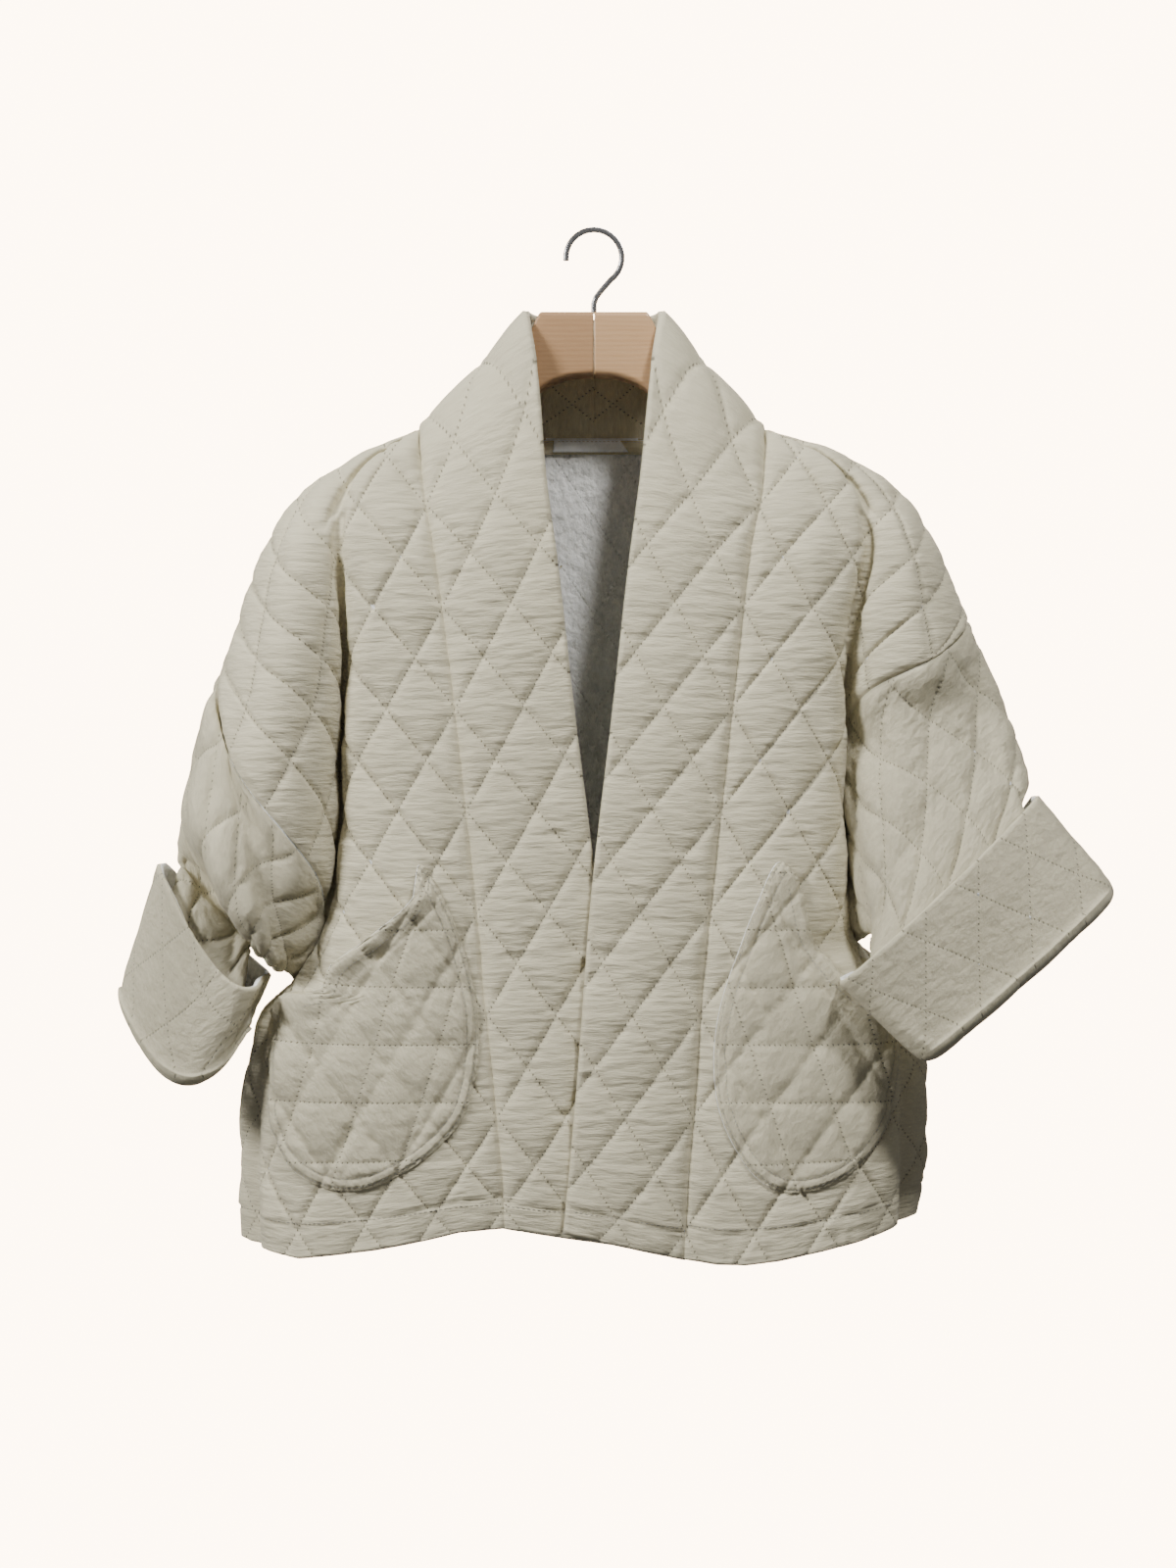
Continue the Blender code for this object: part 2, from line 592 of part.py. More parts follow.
panels = {}
MARGIN = 6.0             # quilting points nearer an edge than this are left out
FRONT_MARGIN = 8.0
SLEEVE_MARGIN = 10.0
EDGE_FADE = 14.0         # the quilting flattens over this much beside a seam
LINK_ROOM = 2.0          # a quilting line nearer an edge than this isn't followed
CREASE_ROOM = 0.4 * EDGE_STEP + 1


def plan_panel(name, grid, outline, wall=WALL, puff_size=PUFF, extra=(), base=0.0, seam_side=(),
               keep=None, margin=MARGIN, crease=(), chart=None):
    """Cut a panel: an outline and the quilting's points, triangulated in the pattern.

    A crease is a chain of points that the triangles follow. A chart is the size of a grid
    row and column, and the panel is triangulated on the grid in place of the pattern.
    """
    finder = PatternMap(grid)
    outline = np.asarray(outline, float)
    rows, cols = outline[:, 0], outline[:, 1]
    loop = np.column_stack([read_grid(grid, "s", rows, cols), read_grid(grid, "t", rows, cols)])
    places = list(read_grid(grid, "p", rows, cols))
    normals = list(read_grid(grid, "n", rows, cols))
    sinks = list(read_grid(grid, "sink", rows, cols))
    flat = [tuple(q) for q in loop]
    grid_spots = [tuple(q) for q in outline]
    fullness = [0.0] * len(flat)
    marks = lattice((loop[:, 0].min(), loop[:, 0].max()), (loop[:, 1].min(), loop[:, 1].max()))
    keys = list(marks)
    spots = np.array([marks[k] for k in keys])
    depth = inside_by(spots, loop)
    crease_line = np.array([(read_grid(grid, "s", [r], [c])[0],
                             read_grid(grid, "t", [r], [c])[0]) for r, c in crease])
    if len(crease_line):
        gaps = np.linalg.norm(spots[:, None] - crease_line[None], axis=2).min(axis=1)
        depth = np.where(gaps < CREASE_ROOM, -1, depth)
    links = [(i, (i + 1) % len(flat)) for i in range(len(flat))]
    number = {}
    for key, spot, deep in zip(keys, spots, depth):
        if deep < margin or (keep is not None and not keep(*spot)):
            continue
        p, n, sink, cell = finder.find(*spot)
        grid_spots.append(cell)
        number[key] = len(flat)
        flat.append(tuple(spot))
        places.append(p)
        normals.append(n)
        sinks.append(sink)
        fullness.append(float(puff(*spot)) * min(1.0, deep / EDGE_FADE))
    pairs = [(index, number[(i, j + 2)]) for (i, j), index in number.items()
             if (i, j + 2) in number]
    if pairs:
        ends = np.array([(flat[a], flat[b]) for a, b in pairs])
        clear = np.min([inside_by(ends[:, 0] * (1 - u) + ends[:, 1] * u, loop)
                        for u in (0.25, 0.5, 0.75)], axis=0)
        clear = [room > LINK_ROOM for room in clear]
        if len(crease_line):
            middles = ends.mean(axis=1)
            apart = np.linalg.norm(middles[:, None] - crease_line[None], axis=2).min(axis=1)
            clear = [room and far > EDGE_STEP for room, far in zip(clear, apart)]
        links += [pair for pair, room in zip(pairs, clear) if room]
    links += [(len(flat) + k, len(flat) + k + 1) for k in range(len(crease) - 1)]
    extra = np.asarray(list(crease) + list(extra), float).reshape(-1, 2)
    if len(extra):
        for r, c in extra:
            grid_spots.append((r, c))
            flat.append((float(read_grid(grid, "s", [r], [c])[0]),
                         float(read_grid(grid, "t", [r], [c])[0])))
            places.append(read_grid(grid, "p", [r], [c])[0])
            normals.append(read_grid(grid, "n", [r], [c])[0])
            sinks.append(read_grid(grid, "sink", [r], [c])[0])
            fullness.append(0.0)
    if chart:
        flat = [(c * chart[1], r * chart[0]) for r, c in grid_spots]
        links = links[:len(loop)]
    result = geometry.delaunay_2d_cdt([Vector(q) for q in flat], links, [], 1, 1e-6)
    origins = result[3]
    faces = [[origins[v][0] for v in face] for face in result[2]]
    panels[name] = {
        "p": np.array(places), "n": np.array(normals), "full": np.array(fullness),
        "sink": np.array(sinks),
        "faces": faces, "rim": len(loop), "wall": wall, "puff": puff_size, "base": base,
        "welds": dict(seam_side),
    }


SEAM_REACH = 1.0         # rim points this near each other are one place on a seam
ARMPIT_LIFT = 14.0       # the sleeve's lowest seam point stands this many gaps higher


def join_seam(name, count, closed):
    """Set a panel's first rim points beside the body's, so both walls share their cuts."""
    body = [panels[n] for n in ("front_left", "front_right", "back")]
    spots = np.vstack([panel["p"][:panel["rim"]] for panel in body])
    normals = np.vstack([panel["n"][:panel["rim"]] for panel in body])
    panel = panels[name]
    p = panel["p"]
    linked = {}
    for face in panel["faces"]:
        for v in face:
            linked.setdefault(v, set()).update(face)
    centres, spreads, facing, inward = [], [], [], []
    for k in range(count):
        nearest = int(np.linalg.norm(spots - p[k], axis=1).argmin())
        near = np.linalg.norm(spots - spots[nearest], axis=1) < SEAM_REACH
        centre = spots[near].mean(axis=0)
        centres.append(centre)
        spreads.append(np.linalg.norm(spots[near] - centre, axis=1).max())
        facing.append(normals[near].sum(axis=0) + panel["n"][k])
        inward.append(np.mean([p[q] for q in linked[k]], axis=0) - p[k])
    sides = []
    for k in range(count if closed else count - 1):
        after = (k + 1) % count
        side = np.cross(centres[after] - centres[k], facing[k] + facing[after])
        side *= np.sign(np.dot(side, inward[k] + inward[after])) / np.linalg.norm(side)
        sides.append(side)
    for k in range(count):
        before, after = sides[k - 1] if closed or k else sides[0], sides[k % len(sides)]
        if not closed and k == count - 1:
            after = before
        middle = before + after
        middle /= np.linalg.norm(middle)
        stretch = 1 / max(0.5, float(np.dot(middle, after)))
        if closed and k == 0:
            middle = np.array([0.0, 0.0, 1.0])
            stretch = ARMPIT_LIFT
        p[k] = centres[k] + middle * (2 * SEAM_GAP * stretch + spreads[k])


def mitre_seams(reach=SEAM_REACH + 0.2):
    """Even thickness: normals from the facets round a point, shared where panels meet."""
    fans = {}
    for name, panel in panels.items():
        p, n = panel["p"], panel["n"]
        corners = np.array([face for face in panel["faces"] if len(set(face)) == 3])
        a, b, c = (p[corners[:, k]] for k in range(3))
        facets = np.cross(b - a, c - a)
        facets /= np.linalg.norm(facets, axis=1, keepdims=True) + 1e-9
        if np.sum(np.sign(np.sum(facets * n[corners].sum(axis=1), axis=1))) < 0:
            facets = -facets
        fan = [[] for _ in p]
        for k, (q, r, s) in enumerate(((a, b, c), (b, c, a), (c, a, b))):
            u, v = r - q, s - q
            cosines = np.sum(u * v, axis=1) / (np.linalg.norm(u, axis=1)
                                               * np.linalg.norm(v, axis=1) + 1e-9)
            for angle, facet, corner in zip(np.arccos(np.clip(cosines, -1, 1)), facets,
                                            corners[:, k]):
                fan[corner].append((angle, facet))
        fans[name] = fan
    rims = [(name, i) for name, panel in panels.items() if panel["base"] == 0.0
            for i in range(panel["rim"])]
    spots = np.array([panels[name]["p"][i] for name, i in rims])
    sinks = np.array([panels[name]["sink"][i] for name, i in rims])
    shared = {}
    for k, (name, i) in enumerate(rims):
        near = np.flatnonzero(np.linalg.norm(spots - spots[k], axis=1) < reach)
        shared[(name, i)] = [wedge for q in near for wedge in fans[rims[q][0]][rims[q][1]]]
        panels[name]["sink"][i] = sinks[near].mean()
    for name, panel in panels.items():
        for i, own in enumerate(fans[name]):
            wedges = shared.get((name, i), own)
            if not wedges:
                continue
            angles = np.array([wedge[0] for wedge in wedges])
            facets = np.array([wedge[1] for wedge in wedges])
            mean = angles @ facets
            mean /= np.linalg.norm(mean) + 1e-12
            bend = float(angles @ (facets @ mean) / angles.sum())
            panel["n"][i] = mean / max(bend, 0.5)


def material(name, colour, roughness, metallic=0.0):
    """A plain Principled material."""
    made = bpy.data.materials.new(name)
    made.use_nodes = True
    shader = made.node_tree.nodes["Principled BSDF"]
    shader.inputs["Base Color"].default_value = (*colour, 1.0)
    shader.inputs["Roughness"].default_value = roughness
    shader.inputs["Metallic"].default_value = metallic
    return made


def make_object(name, verts, faces, finish):
    """A named object from points in millimetres."""
    mesh = bpy.data.meshes.new(name)
    mesh.from_pydata([tuple(v * MM) for v in verts], [], faces)
    mesh.validate()
    mesh.materials.append(finish)
    thing = bpy.data.objects.new(name, mesh)
    bpy.context.scene.collection.objects.link(thing)
    return thing


def make_panel(name, finish):
    """The wall of a planned panel: plain inside, quilted outside, closed at its rim."""
    plan = panels[name]
    p, n, count, rim = plan["p"], plan["n"], len(plan["p"]), plan["rim"]
    same = np.arange(count)
    for late, early in plan["welds"].items():
        same[late] = early
    swell = plan["wall"] + plan["puff"] * plan["full"]
    behind = np.zeros(count)
    if plan["base"] <= 0:
        behind = plan["sink"] * (swell if plan["base"] == 0.0 else WALL + PUFF)
    inner = p + n * (plan["base"] - behind)[:, None]
    outer = p + n * (plan["base"] - behind + swell)[:, None]
    faces = []
    votes = sum(np.sign(np.dot(np.cross(p[b] - p[a], p[c] - p[a]), n[a] + n[b] + n[c]))
                for a, b, c in plan["faces"])
    for a, b, c in plan["faces"]:
        a, b, c = (int(same[q]) for q in ((a, b, c) if votes > 0 else (a, c, b)))
        if len({a, b, c}) == 3:
            faces.append((a + count, b + count, c + count))
            faces.append((c, b, a))
    directed = {(a - count, b - count) for f in faces if f[0] >= count
                for a, b in zip(f, f[1:] + f[:1])}
    for a, b in directed:
        if (b, a) not in directed:
            if np.linalg.norm(inner[a] - outer[b]) < np.linalg.norm(inner[b] - outer[a]):
                faces += [(a, b, b + count), (a, b + count, a + count)]
            else:
                faces += [(a, b, a + count), (b, b + count, a + count)]
    thing = make_object(name, np.vstack([inner, outer]), faces, finish)
    work = bmesh.new()
    work.from_mesh(thing.data)
    loose = [v for v in work.verts if not v.link_faces]
    bmesh.ops.delete(work, geom=loose, context="VERTS")
    work.to_mesh(thing.data)
    work.free()
    return thing


def seam_rows(top, bottom, drops):
    """Grid rows at the shared seam drops between two levels, ends included."""
    shared = [d for d in SEAM_DROPS if top + 4 < d < bottom - 4]
    return np.interp([top] + shared + [bottom], drops, np.arange(len(drops)))


SEAM_DROPS = ([NECK_DROP + 8 * i for i in range(1, 8)]
              + list(np.arange(NECK_DROP + 72, HEM_DROP, EDGE_STEP)))
NECK_TURNS = 9           # seam points from the neck point to the centre back
COLUMNS = 121
HEM_POINTS = 9
DROPS = np.append(np.arange(NECK_DROP, HEM_DROP, ROW_STEP), HEM_DROP)
DROPS[0] += SEAM_GAP


def side_marks(side):
    """The shared levels of a side: shoulder, armhole and side seam."""
    hole = ARMHOLES[side]
    upper = seam_rows(NECK_DROP, hole["top"], DROPS)
    hole_rows = seam_rows(hole["top"], hole["pit"], DROPS)
    lower = seam_rows(hole["pit"], HEM_DROP, DROPS)
    return np.concatenate([upper, hole_rows[1:], lower[1:]])


def front_outline(side):
    """Up the band seam and down the shoulder, armhole and side seam."""
    outer = side_marks(side)
    band = seam_rows(NECK_DROP, HEM_DROP, DROPS)
    last = COLUMNS - 1
    outer_col, band_col = (last, 0) if side == "left" else (0, last)
    hem = np.linspace(outer_col, band_col, HEM_POINTS)[1:-1]
    loop = [(r, outer_col) for r in outer] + [(outer[-1], c) for c in hem]
    return loop + [(r, band_col) for r in band[::-1]]


def back_outline(neck_columns):
    """Down the left side, along the hem, up the right side and round the neck."""
    last = COLUMNS * 2 - 2
    left, right = side_marks("left"), side_marks("right")
    hem = np.linspace(0, last, 2 * HEM_POINTS + 3)[1:-1]
    loop = [(r, 0) for r in left] + [(left[-1], c) for c in hem]
    return loop + [(r, last) for r in right[::-1]] + [(0, c) for c in neck_columns[1:-1]]


fronts = {side: body_grid("front", side, DROPS, COLUMNS) for side in ("left", "right")}
back = body_grid("rear", "", DROPS, COLUMNS * 2 - 1)


CREASE_STOP = 9.0        # the crease ends where the armhole seam is this near


def valley_crease(side):
    """Points down the bottom of the valley behind the sleeve, while it is on the front."""
    grid = fronts[side]
    found = []
    for drop in np.arange(NECK_DROP + 56, ARMHOLES[side]["pit"], EDGE_STEP / 2):
        line = level(drop)
        along = lengths(line)
        mark = SIDE_AT * PER_SPAN
        bottom = along[mark] if side == "left" else along[-1 - mark] - along[-1]
        end = cut(side, "front", drop) - (0 if side == "left" else along[-1])
        if drop > ARMHOLES[side]["top"] and abs(end - bottom) < CREASE_STOP:
            break
        row = float(np.interp(drop, DROPS, np.arange(len(DROPS))))
        reads = read_grid(grid, "s", np.full(COLUMNS, row), np.arange(COLUMNS))
        found.append((row, float(np.interp(bottom, reads, np.arange(COLUMNS)))))
    return found


for side in ("left", "right"):
    plan_panel("front_" + side, fronts[side], front_outline(side), crease=valley_crease(side),
               margin=FRONT_MARGIN)

# The neck's seam points, at equal turns from each neck point to the centre back
neck_line = level(NECK_DROP)
neck_along = lengths(neck_line)
centre_mark = neck_along[(len(neck_line) - 1) // 2]
neck_marks = {
    "left": np.linspace(0, centre_mark, NECK_TURNS),
    "right": np.linspace(neck_along[-1], centre_mark, NECK_TURNS),
}
back_places = back["s"][0] + centre_mark
neck_reads = np.concatenate([neck_marks["right"], neck_marks["left"][::-1][1:]])
neck_columns = np.interp(neck_reads, back_places, np.arange(len(back_places)))
plan_panel("back", back, back_outline(neck_columns))

# Bands: the seam side follows the front's levels and the neck's turns
band_seams = {}
for side in ("left", "right"):
    grid = band_grid(side)
    rows, columns = grid["s"].shape
    front_rows = grid["front_rows"]
    levels = [d for d in SEAM_DROPS if NECK_DROP + 4 < d < HEM_DROP - 4][::-1]
    level_rows = [(HEM_DROP - d) / ROW_STEP for d in [HEM_DROP] + levels]
    turn_rows = front_rows + np.linspace(0, rows - 1 - front_rows, NECK_TURNS)
    along_rows = np.concatenate([level_rows, turn_rows])
    last = columns - 1
    loop = [(r, 0) for r in along_rows]
    loop += [(rows - 1, c) for c in np.linspace(0, last, 5)[1:]]
    loop += [(r, last) for r in along_rows[::-1][1:]]
    loop += [(0, c) for c in np.linspace(last, 0, 5)[1:-1]]
    band_seams[side] = len(along_rows)
    plan_panel("band_" + side, grid, loop, wall=BAND_WALL)

# Sleeves: the ring at the armhole shares its points with the body panels
CUFF_ROWS = (0.0, 4.6, 9.2, 13.2, 40.0, 66.0)
CUFF_POINTS = 22
SLEEVE_ROW = 4.0         # one row of a sleeve's grid, about
SLEEVE_ROUND = 400.0     # once round a sleeve, about
ARMHOLE_ROWS = (0.0, 6.0, 11.0)
sleeve_seams = {}
for side in ("left", "right"):
    grid = sleeve_grid(side)
    rows, columns = grid["s"].shape
    hole = ARMHOLES[side]
    seam_drops = [hole["pit"]] + [d for d in SEAM_DROPS[::-1]
                                  if hole["top"] + 4 < d < hole["pit"] - 4] + [hole["top"]]
    ring_columns = []
    fine = np.linspace(hole["pit"], hole["top"], 90)
    for face in ("front", "rear"):
        spots = []
        for drop in fine:
            line = level(drop)
            x, y = read_line(line, lengths(line), np.array([cut(side, face, drop)]))[0]
            spots.append((x, y, drop))
        along = lengths(np.array(spots))
        share = np.interp([-d for d in seam_drops], -fine, along) / along[-1]
        half = (columns - 1) / 2
        ring_columns += list(half * share if face == "front" else columns - 1 - half * share)
    front_part = ring_columns[:len(seam_drops)]
    rear_part = ring_columns[len(seam_drops):][::-1][1:]
    mean_t = grid["t"].mean(axis=1)
    ring_rows = [float(r) for r in range(2 * RING_SPAN, 6 * RING_SPAN, RING_SPAN // 2)]
    ring_rows += [float(np.interp(value, mean_t, np.arange(rows))) for value in CUFF_ROWS]
    side_rows = [*ARMHOLE_ROWS] + ring_rows + [rows - 1.0]
    last = columns - 1
    loop = [(0, c) for c in front_part + rear_part]
    first_side = len(loop)
    sleeve_seams[side] = first_side - 1
    loop += [(r, last) for r in side_rows[1:]]
    free_edge = np.linspace(last, 0, CUFF_POINTS + 1)[1:-1]
    loop += [(rows - 1, c) for c in free_edge]
    loop += [(r, 0) for r in side_rows[::-1][:-1]]
    total = len(loop)
    welds = {first_side - 1: 0}
    for k in range(len(side_rows) - 1):
        welds[first_side + k] = total - 1 - k
    extra = [(r, c) for r in ring_rows for c in np.linspace(0, last, CUFF_POINTS + 1)[1:-1]]
    limit_s, limit_t = grid["s"][2 * RING_SPAN], grid["t"][2 * RING_SPAN]
    plan_panel("sleeve_" + side, grid, loop, extra=extra, seam_side=welds.items(),
               keep=lambda s, t: t < np.interp(s, limit_s, limit_t) - FRONT_MARGIN,
               chart=(SLEEVE_ROW, SLEEVE_ROUND / columns), margin=SLEEVE_MARGIN)


POCKET_POINTS = 34
POCKET_PUFF = 1.2        # the patch is sewn down, so its diamonds swell less
POCKET_GAP = 1.0         # clear of the front's fullest diamonds
POCKET_MARGIN = 5.0      # the front's own points are carried up to this near the edge


def smooth_outline(points, count):
    """A closed curve through the points, evenly read."""
    points = np.array(points + points[:2], float)
    line, marks = smooth_line(points, 10)
    line = line[marks[1]:marks[len(points) - 1] + 1]
    along = lengths(line)
    return read_line(line, along, np.linspace(0, along[-1], count, endpoint=False))


def plan_pocket(side, outline):
    """A patch lying on its front's own points, its quilting turned until one line is level."""
    grid = dict(fronts[side])
    sign = 1 if side == "left" else -1
    loop = smooth_outline(outline, POCKET_POINTS)
    rows, cols = grid["s"].shape
    order = np.arange(cols)
    own = np.array(list(lattice((-230, 230), (380, 640)).values()))
    own = own[inside_by(own, loop * (sign, 1)) > POCKET_MARGIN]
    spots = []
    for s, t in np.vstack([loop * (sign, 1), own]):
        r = np.interp(t, grid["t"][:, 0], np.arange(rows))
        line = read_grid(grid, "s", np.full(cols, r), order)
        spots.append((r, float(np.interp(s, line, order))))
    turn = math.atan2(DIAMOND_TALL, DIAMOND_WIDE) * sign
    turned = dict(grid)
    turned["s"] = grid["s"] * math.cos(turn) - grid["t"] * math.sin(turn)
    turned["t"] = grid["s"] * math.sin(turn) + grid["t"] * math.cos(turn)
    edge = len(loop)
    plan_panel("pocket_" + side, turned, spots[:edge], puff_size=POCKET_PUFF,
               base=WALL + PUFF + POCKET_GAP, extra=spots[edge:])


POCKETS = {"left": POCKET_LEFT, "right": POCKET_RIGHT}
for side, outline in POCKETS.items():
    plan_pocket(side, outline)

# What is sewn inside the back of the neck, lying on the back panel's own points
TAPE = (-40.0, 40.0, 86.5, 96.0)
LABEL = (-29.0, 21.0, 86.0, 94.5)
for name, (left, right, top, bottom), base, wall in (
        ("neck_tape", TAPE, -1.5, 1.1), ("neck_label", LABEL, -3.3, 1.4)):
    top_row, bottom_row = (np.interp(d, DROPS, np.arange(len(DROPS))) for d in (top, bottom))
    ends = [np.interp(-x, back["s"][2], np.arange(COLUMNS * 2 - 1)) for x in (left, right)]
    across = np.linspace(ends[1], ends[0], 9)
    loop = [(bottom_row, c) for c in across] + [(top_row, c) for c in across[::-1]]
    plan_panel(name, back, loop, wall=wall, puff_size=0.0, base=base)

for side in ("left", "right"):
    join_seam("band_" + side, band_seams[side], closed=False)
    join_seam("sleeve_" + side, sleeve_seams[side], closed=True)
mitre_seams()

cotton = material("quilted_cotton", (0.48, 0.45, 0.39), 0.92)
sleeve_cotton = material("quilted_twill", (0.50, 0.47, 0.41), 0.92)
tape_cotton = material("neck_cotton", (0.50, 0.47, 0.41), 0.9)
satin = material("white_satin", (0.72, 0.73, 0.73), 0.45)
beech = material("beech", (0.56, 0.38, 0.22), 0.5)
steel = material("hook_steel", (0.62, 0.62, 0.62), 0.3, 1.0)
for name in panels:
    if name.startswith(("sleeve", "pocket")):
        make_panel(name, sleeve_cotton)
    elif name == "neck_tape":
        make_panel(name, tape_cotton)
    elif name == "neck_label":
        make_panel(name, satin)
    else:
        make_panel(name, cotton)

# The hanger: one row for each upright cut of an arm, outwards from the glued middle.
# Columns: x, top, bottom, thick.
HANGER_ARM = (
    (0.3, 0, 45, 20), (14, 0, 46, 20), (28, 0, 50, 20), (37, 0, 55, 20), (46, 14.6, 64, 20),
    (60, 33.6, 76, 18), (80, 58.7, 92, 16), (104, 82.8, 112, 15), (126, 100, 126, 15),
    (150, 111, 135, 15), (175, 122, 144, 14), (194, 134, 154, 12), (204, 143, 156, 9),
)
ARM_ROUND = 4.0          # the arm's rounded edges


def arm_section(x, top, bottom, thick):
    """One upright cut of the arm with its four edges rounded off."""
    y, r = thick / 2, min(ARM_ROUND, thick / 3)
    corners = ((y - r, top + r, 0), (-y + r, top + r, 90), (-y + r, bottom - r, 180),
               (y - r, bottom - r, 270))
    ring = []
    for cy, cz, start in corners:
        for step in (0, 45, 90):
            a = math.radians(start + step)
            ring.append((x, cy + r * math.cos(a), BLOCK_TOP - (cz - r * math.sin(a))))
    return ring


def make_arm(name, sign):
    """One beech half, lofted through its upright cuts."""
    rings = [arm_section(sign * x, *rest) for x, *rest in HANGER_ARM]
    count = len(rings[0])
    verts = [np.array(v) for ring in rings for v in ring]
    faces = []
    for k in range(len(rings) - 1):
        for i in range(count):
            j = (i + 1) % count
            a, b = k * count + i, k * count + j
            faces.append((a, b, b + count, a + count))
    faces.append(tuple(range(count))[::-1])
    faces.append(tuple((len(rings) - 1) * count + i for i in range(count)))
    if sign < 0:
        faces = [f[::-1] for f in faces]
    return make_object(name, verts, faces, beech)


make_arm("hanger_arm_left", 1)
make_arm("hanger_arm_right", -1)

HOOK_WIRE = 2.0          # radius of the hook's wire
HOOK_CROOK = 20.0        # from the crook's centre to the wire's middle
HOOK_SEAT = 0.3          # clear of the block


def make_hook():
    """A steel hook: an upright stem, a neck bent aside and a round crook with a short tip."""
    centre = -(HOOK_CROOK - HOOK_WIRE)
    path = [(0.0, BLOCK_TOP + HOOK_SEAT), (0.0, BLOCK_TOP + 7.0), (1.5, BLOCK_TOP + 11.5),
            (5.0, BLOCK_TOP + 16.0)]
    for degrees in range(-54, 196, 12):
        a = math.radians(degrees)
        path.append((HOOK_CROOK * math.cos(a), centre + HOOK_CROOK * math.sin(a)))
    spline_points = [Vector((x, 0.0, z)) * MM for x, z in path]
    curve = bpy.data.curves.new("hanger_hook", "CURVE")
    curve.dimensions = "3D"
    curve.bevel_depth = HOOK_WIRE * MM
    curve.bevel_resolution = 3
    curve.use_fill_caps = True
    spline = curve.splines.new("POLY")
    spline.points.add(len(spline_points) - 1)
    for point, place in zip(spline.points, spline_points):
        point.co = (*place, 1.0)
    curve.materials.append(steel)
    thing = bpy.data.objects.new("hanger_hook", curve)
    bpy.context.scene.collection.objects.link(thing)


make_hook()
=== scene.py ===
# Quilted kimono jacket on its two-piece wooden hanger
import math

import bmesh
import bpy
import numpy as np
from mathutils import Matrix, Vector


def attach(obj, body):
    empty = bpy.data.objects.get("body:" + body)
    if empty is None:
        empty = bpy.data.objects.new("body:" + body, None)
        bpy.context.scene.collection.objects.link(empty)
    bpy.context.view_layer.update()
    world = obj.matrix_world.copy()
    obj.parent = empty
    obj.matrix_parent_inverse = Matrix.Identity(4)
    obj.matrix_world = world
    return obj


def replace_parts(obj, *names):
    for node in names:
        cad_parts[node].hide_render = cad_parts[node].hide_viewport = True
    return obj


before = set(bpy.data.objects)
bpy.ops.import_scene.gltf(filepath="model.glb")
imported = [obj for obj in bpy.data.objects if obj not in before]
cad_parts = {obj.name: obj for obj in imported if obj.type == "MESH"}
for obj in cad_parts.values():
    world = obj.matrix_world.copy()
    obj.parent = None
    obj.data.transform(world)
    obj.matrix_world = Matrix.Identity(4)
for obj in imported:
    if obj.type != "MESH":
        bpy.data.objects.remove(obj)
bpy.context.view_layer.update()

# Tables are in millimetres. Left is the wearer's, +X. A drop is below the hanger's block.
# Driving sizes in millimetres
blockTop = -58.0        # height of the hanger's block below the inside of the hook
neckDrop = 84.0         # the neck seam
hemDrop = 655.0         # the mean hem
bandWidth = 82.0        # the collar band, from its seam to its free edge
diamondWide = 48.0      # one quilted diamond
diamondTall = 71.0
wall = 2.4               # the cloth at a line of quilting
puff = 2.4               # how far a diamond swells over its lines
bandWall = 3.4          # the band is folded double
seamGap = 0.03          # each side of a seam stands back by this much
rowStep = 2.0           # one row of a panel's grid
armpitLeft = 448.0
armpitRight = 476.0

# One row for each level cut through the garment's front, x outwards from the middle.
# seam: band seam, side: valley behind the sleeve, then the side seam below the armpit,
# edge: outermost line, the others are depths, front is negative.
frontColumns = ("drop", "seam", "seamY", "chest", "side", "dip", "crest", "edge", "edgeY")
frontLeft = (
    (84, 121, 0, -0.1, 121.2, -0.1, -0.1, 121.4, 0),
    (105, 119.5, -20, -24, 155, -19, -11, 181, 0),
    (130, 117.5, -30, -33, 178, -30, -22, 217, 0),
    (170, 109, -38, -41, 194, -31, -38, 243, 0),
    (225, 102.5, -40, -42, 182, -18, -46, 267, 0),
    (281, 96, -41, -43, 179, -5, -50, 290, 0),
    (336, 90, -42, -44, 179, -3, -52, 301, 0),
    (391, 84, -42, -45, 181, -5, -50, 290, 0),
    (430, 80, -42, -46, 182, -5, -30, 225, 0),
    (448, 78, -43, -46, 188, 3, 3.5, 190, 4),
    (470, 75.5, -43, -47, 200, -8, -2, 207, 6),
    (500, 73, -44, -48, 211, -18, -8, 224, 6),
    (548, 70, -45, -50, 214, -23, -10, 235, 6),
    (600, 66, -46, -52, 214, -24, -10, 235, 6),
    (655, 62, -47, -54, 212, -25, -11, 230, 6),
)
frontRight = (
    (84, 124, 0, -0.1, 124.2, -0.1, -0.1, 124.4, 0),
    (105, 122, -20, -24, 150, -18, -11, 169, 0),
    (130, 119, -30, -33, 168, -29, -22, 207, 0),
    (170, 112, -38, -41, 180, -33, -38, 233, 0),
    (225, 104, -40, -43, 176, -22, -48, 253, 0),
    (281, 97, -41, -44, 177, -8, -54, 272, 0),
    (336, 91, -42, -45, 179, -4, -57, 285, 0),
    (391, 85, -42, -46, 182, -3, -56, 283, 0),
    (430, 81, -42, -47, 190, -5, -45, 262, 0),
    (450, 79, -42, -47, 199, -7, -22, 236, 0),
    (476, 77, -43, -48, 214, 3, 3.5, 216, 4),
    (500, 74, -44, -49, 227, -8, -2, 235, 6),
    (548, 69, -45, -51, 233, -20, -8, 247, 6),
    (600, 65, -46, -53, 234, -22, -8, 250, 6),
    (655, 62, -47, -55, 233, -24, -9, 249, 6),
)
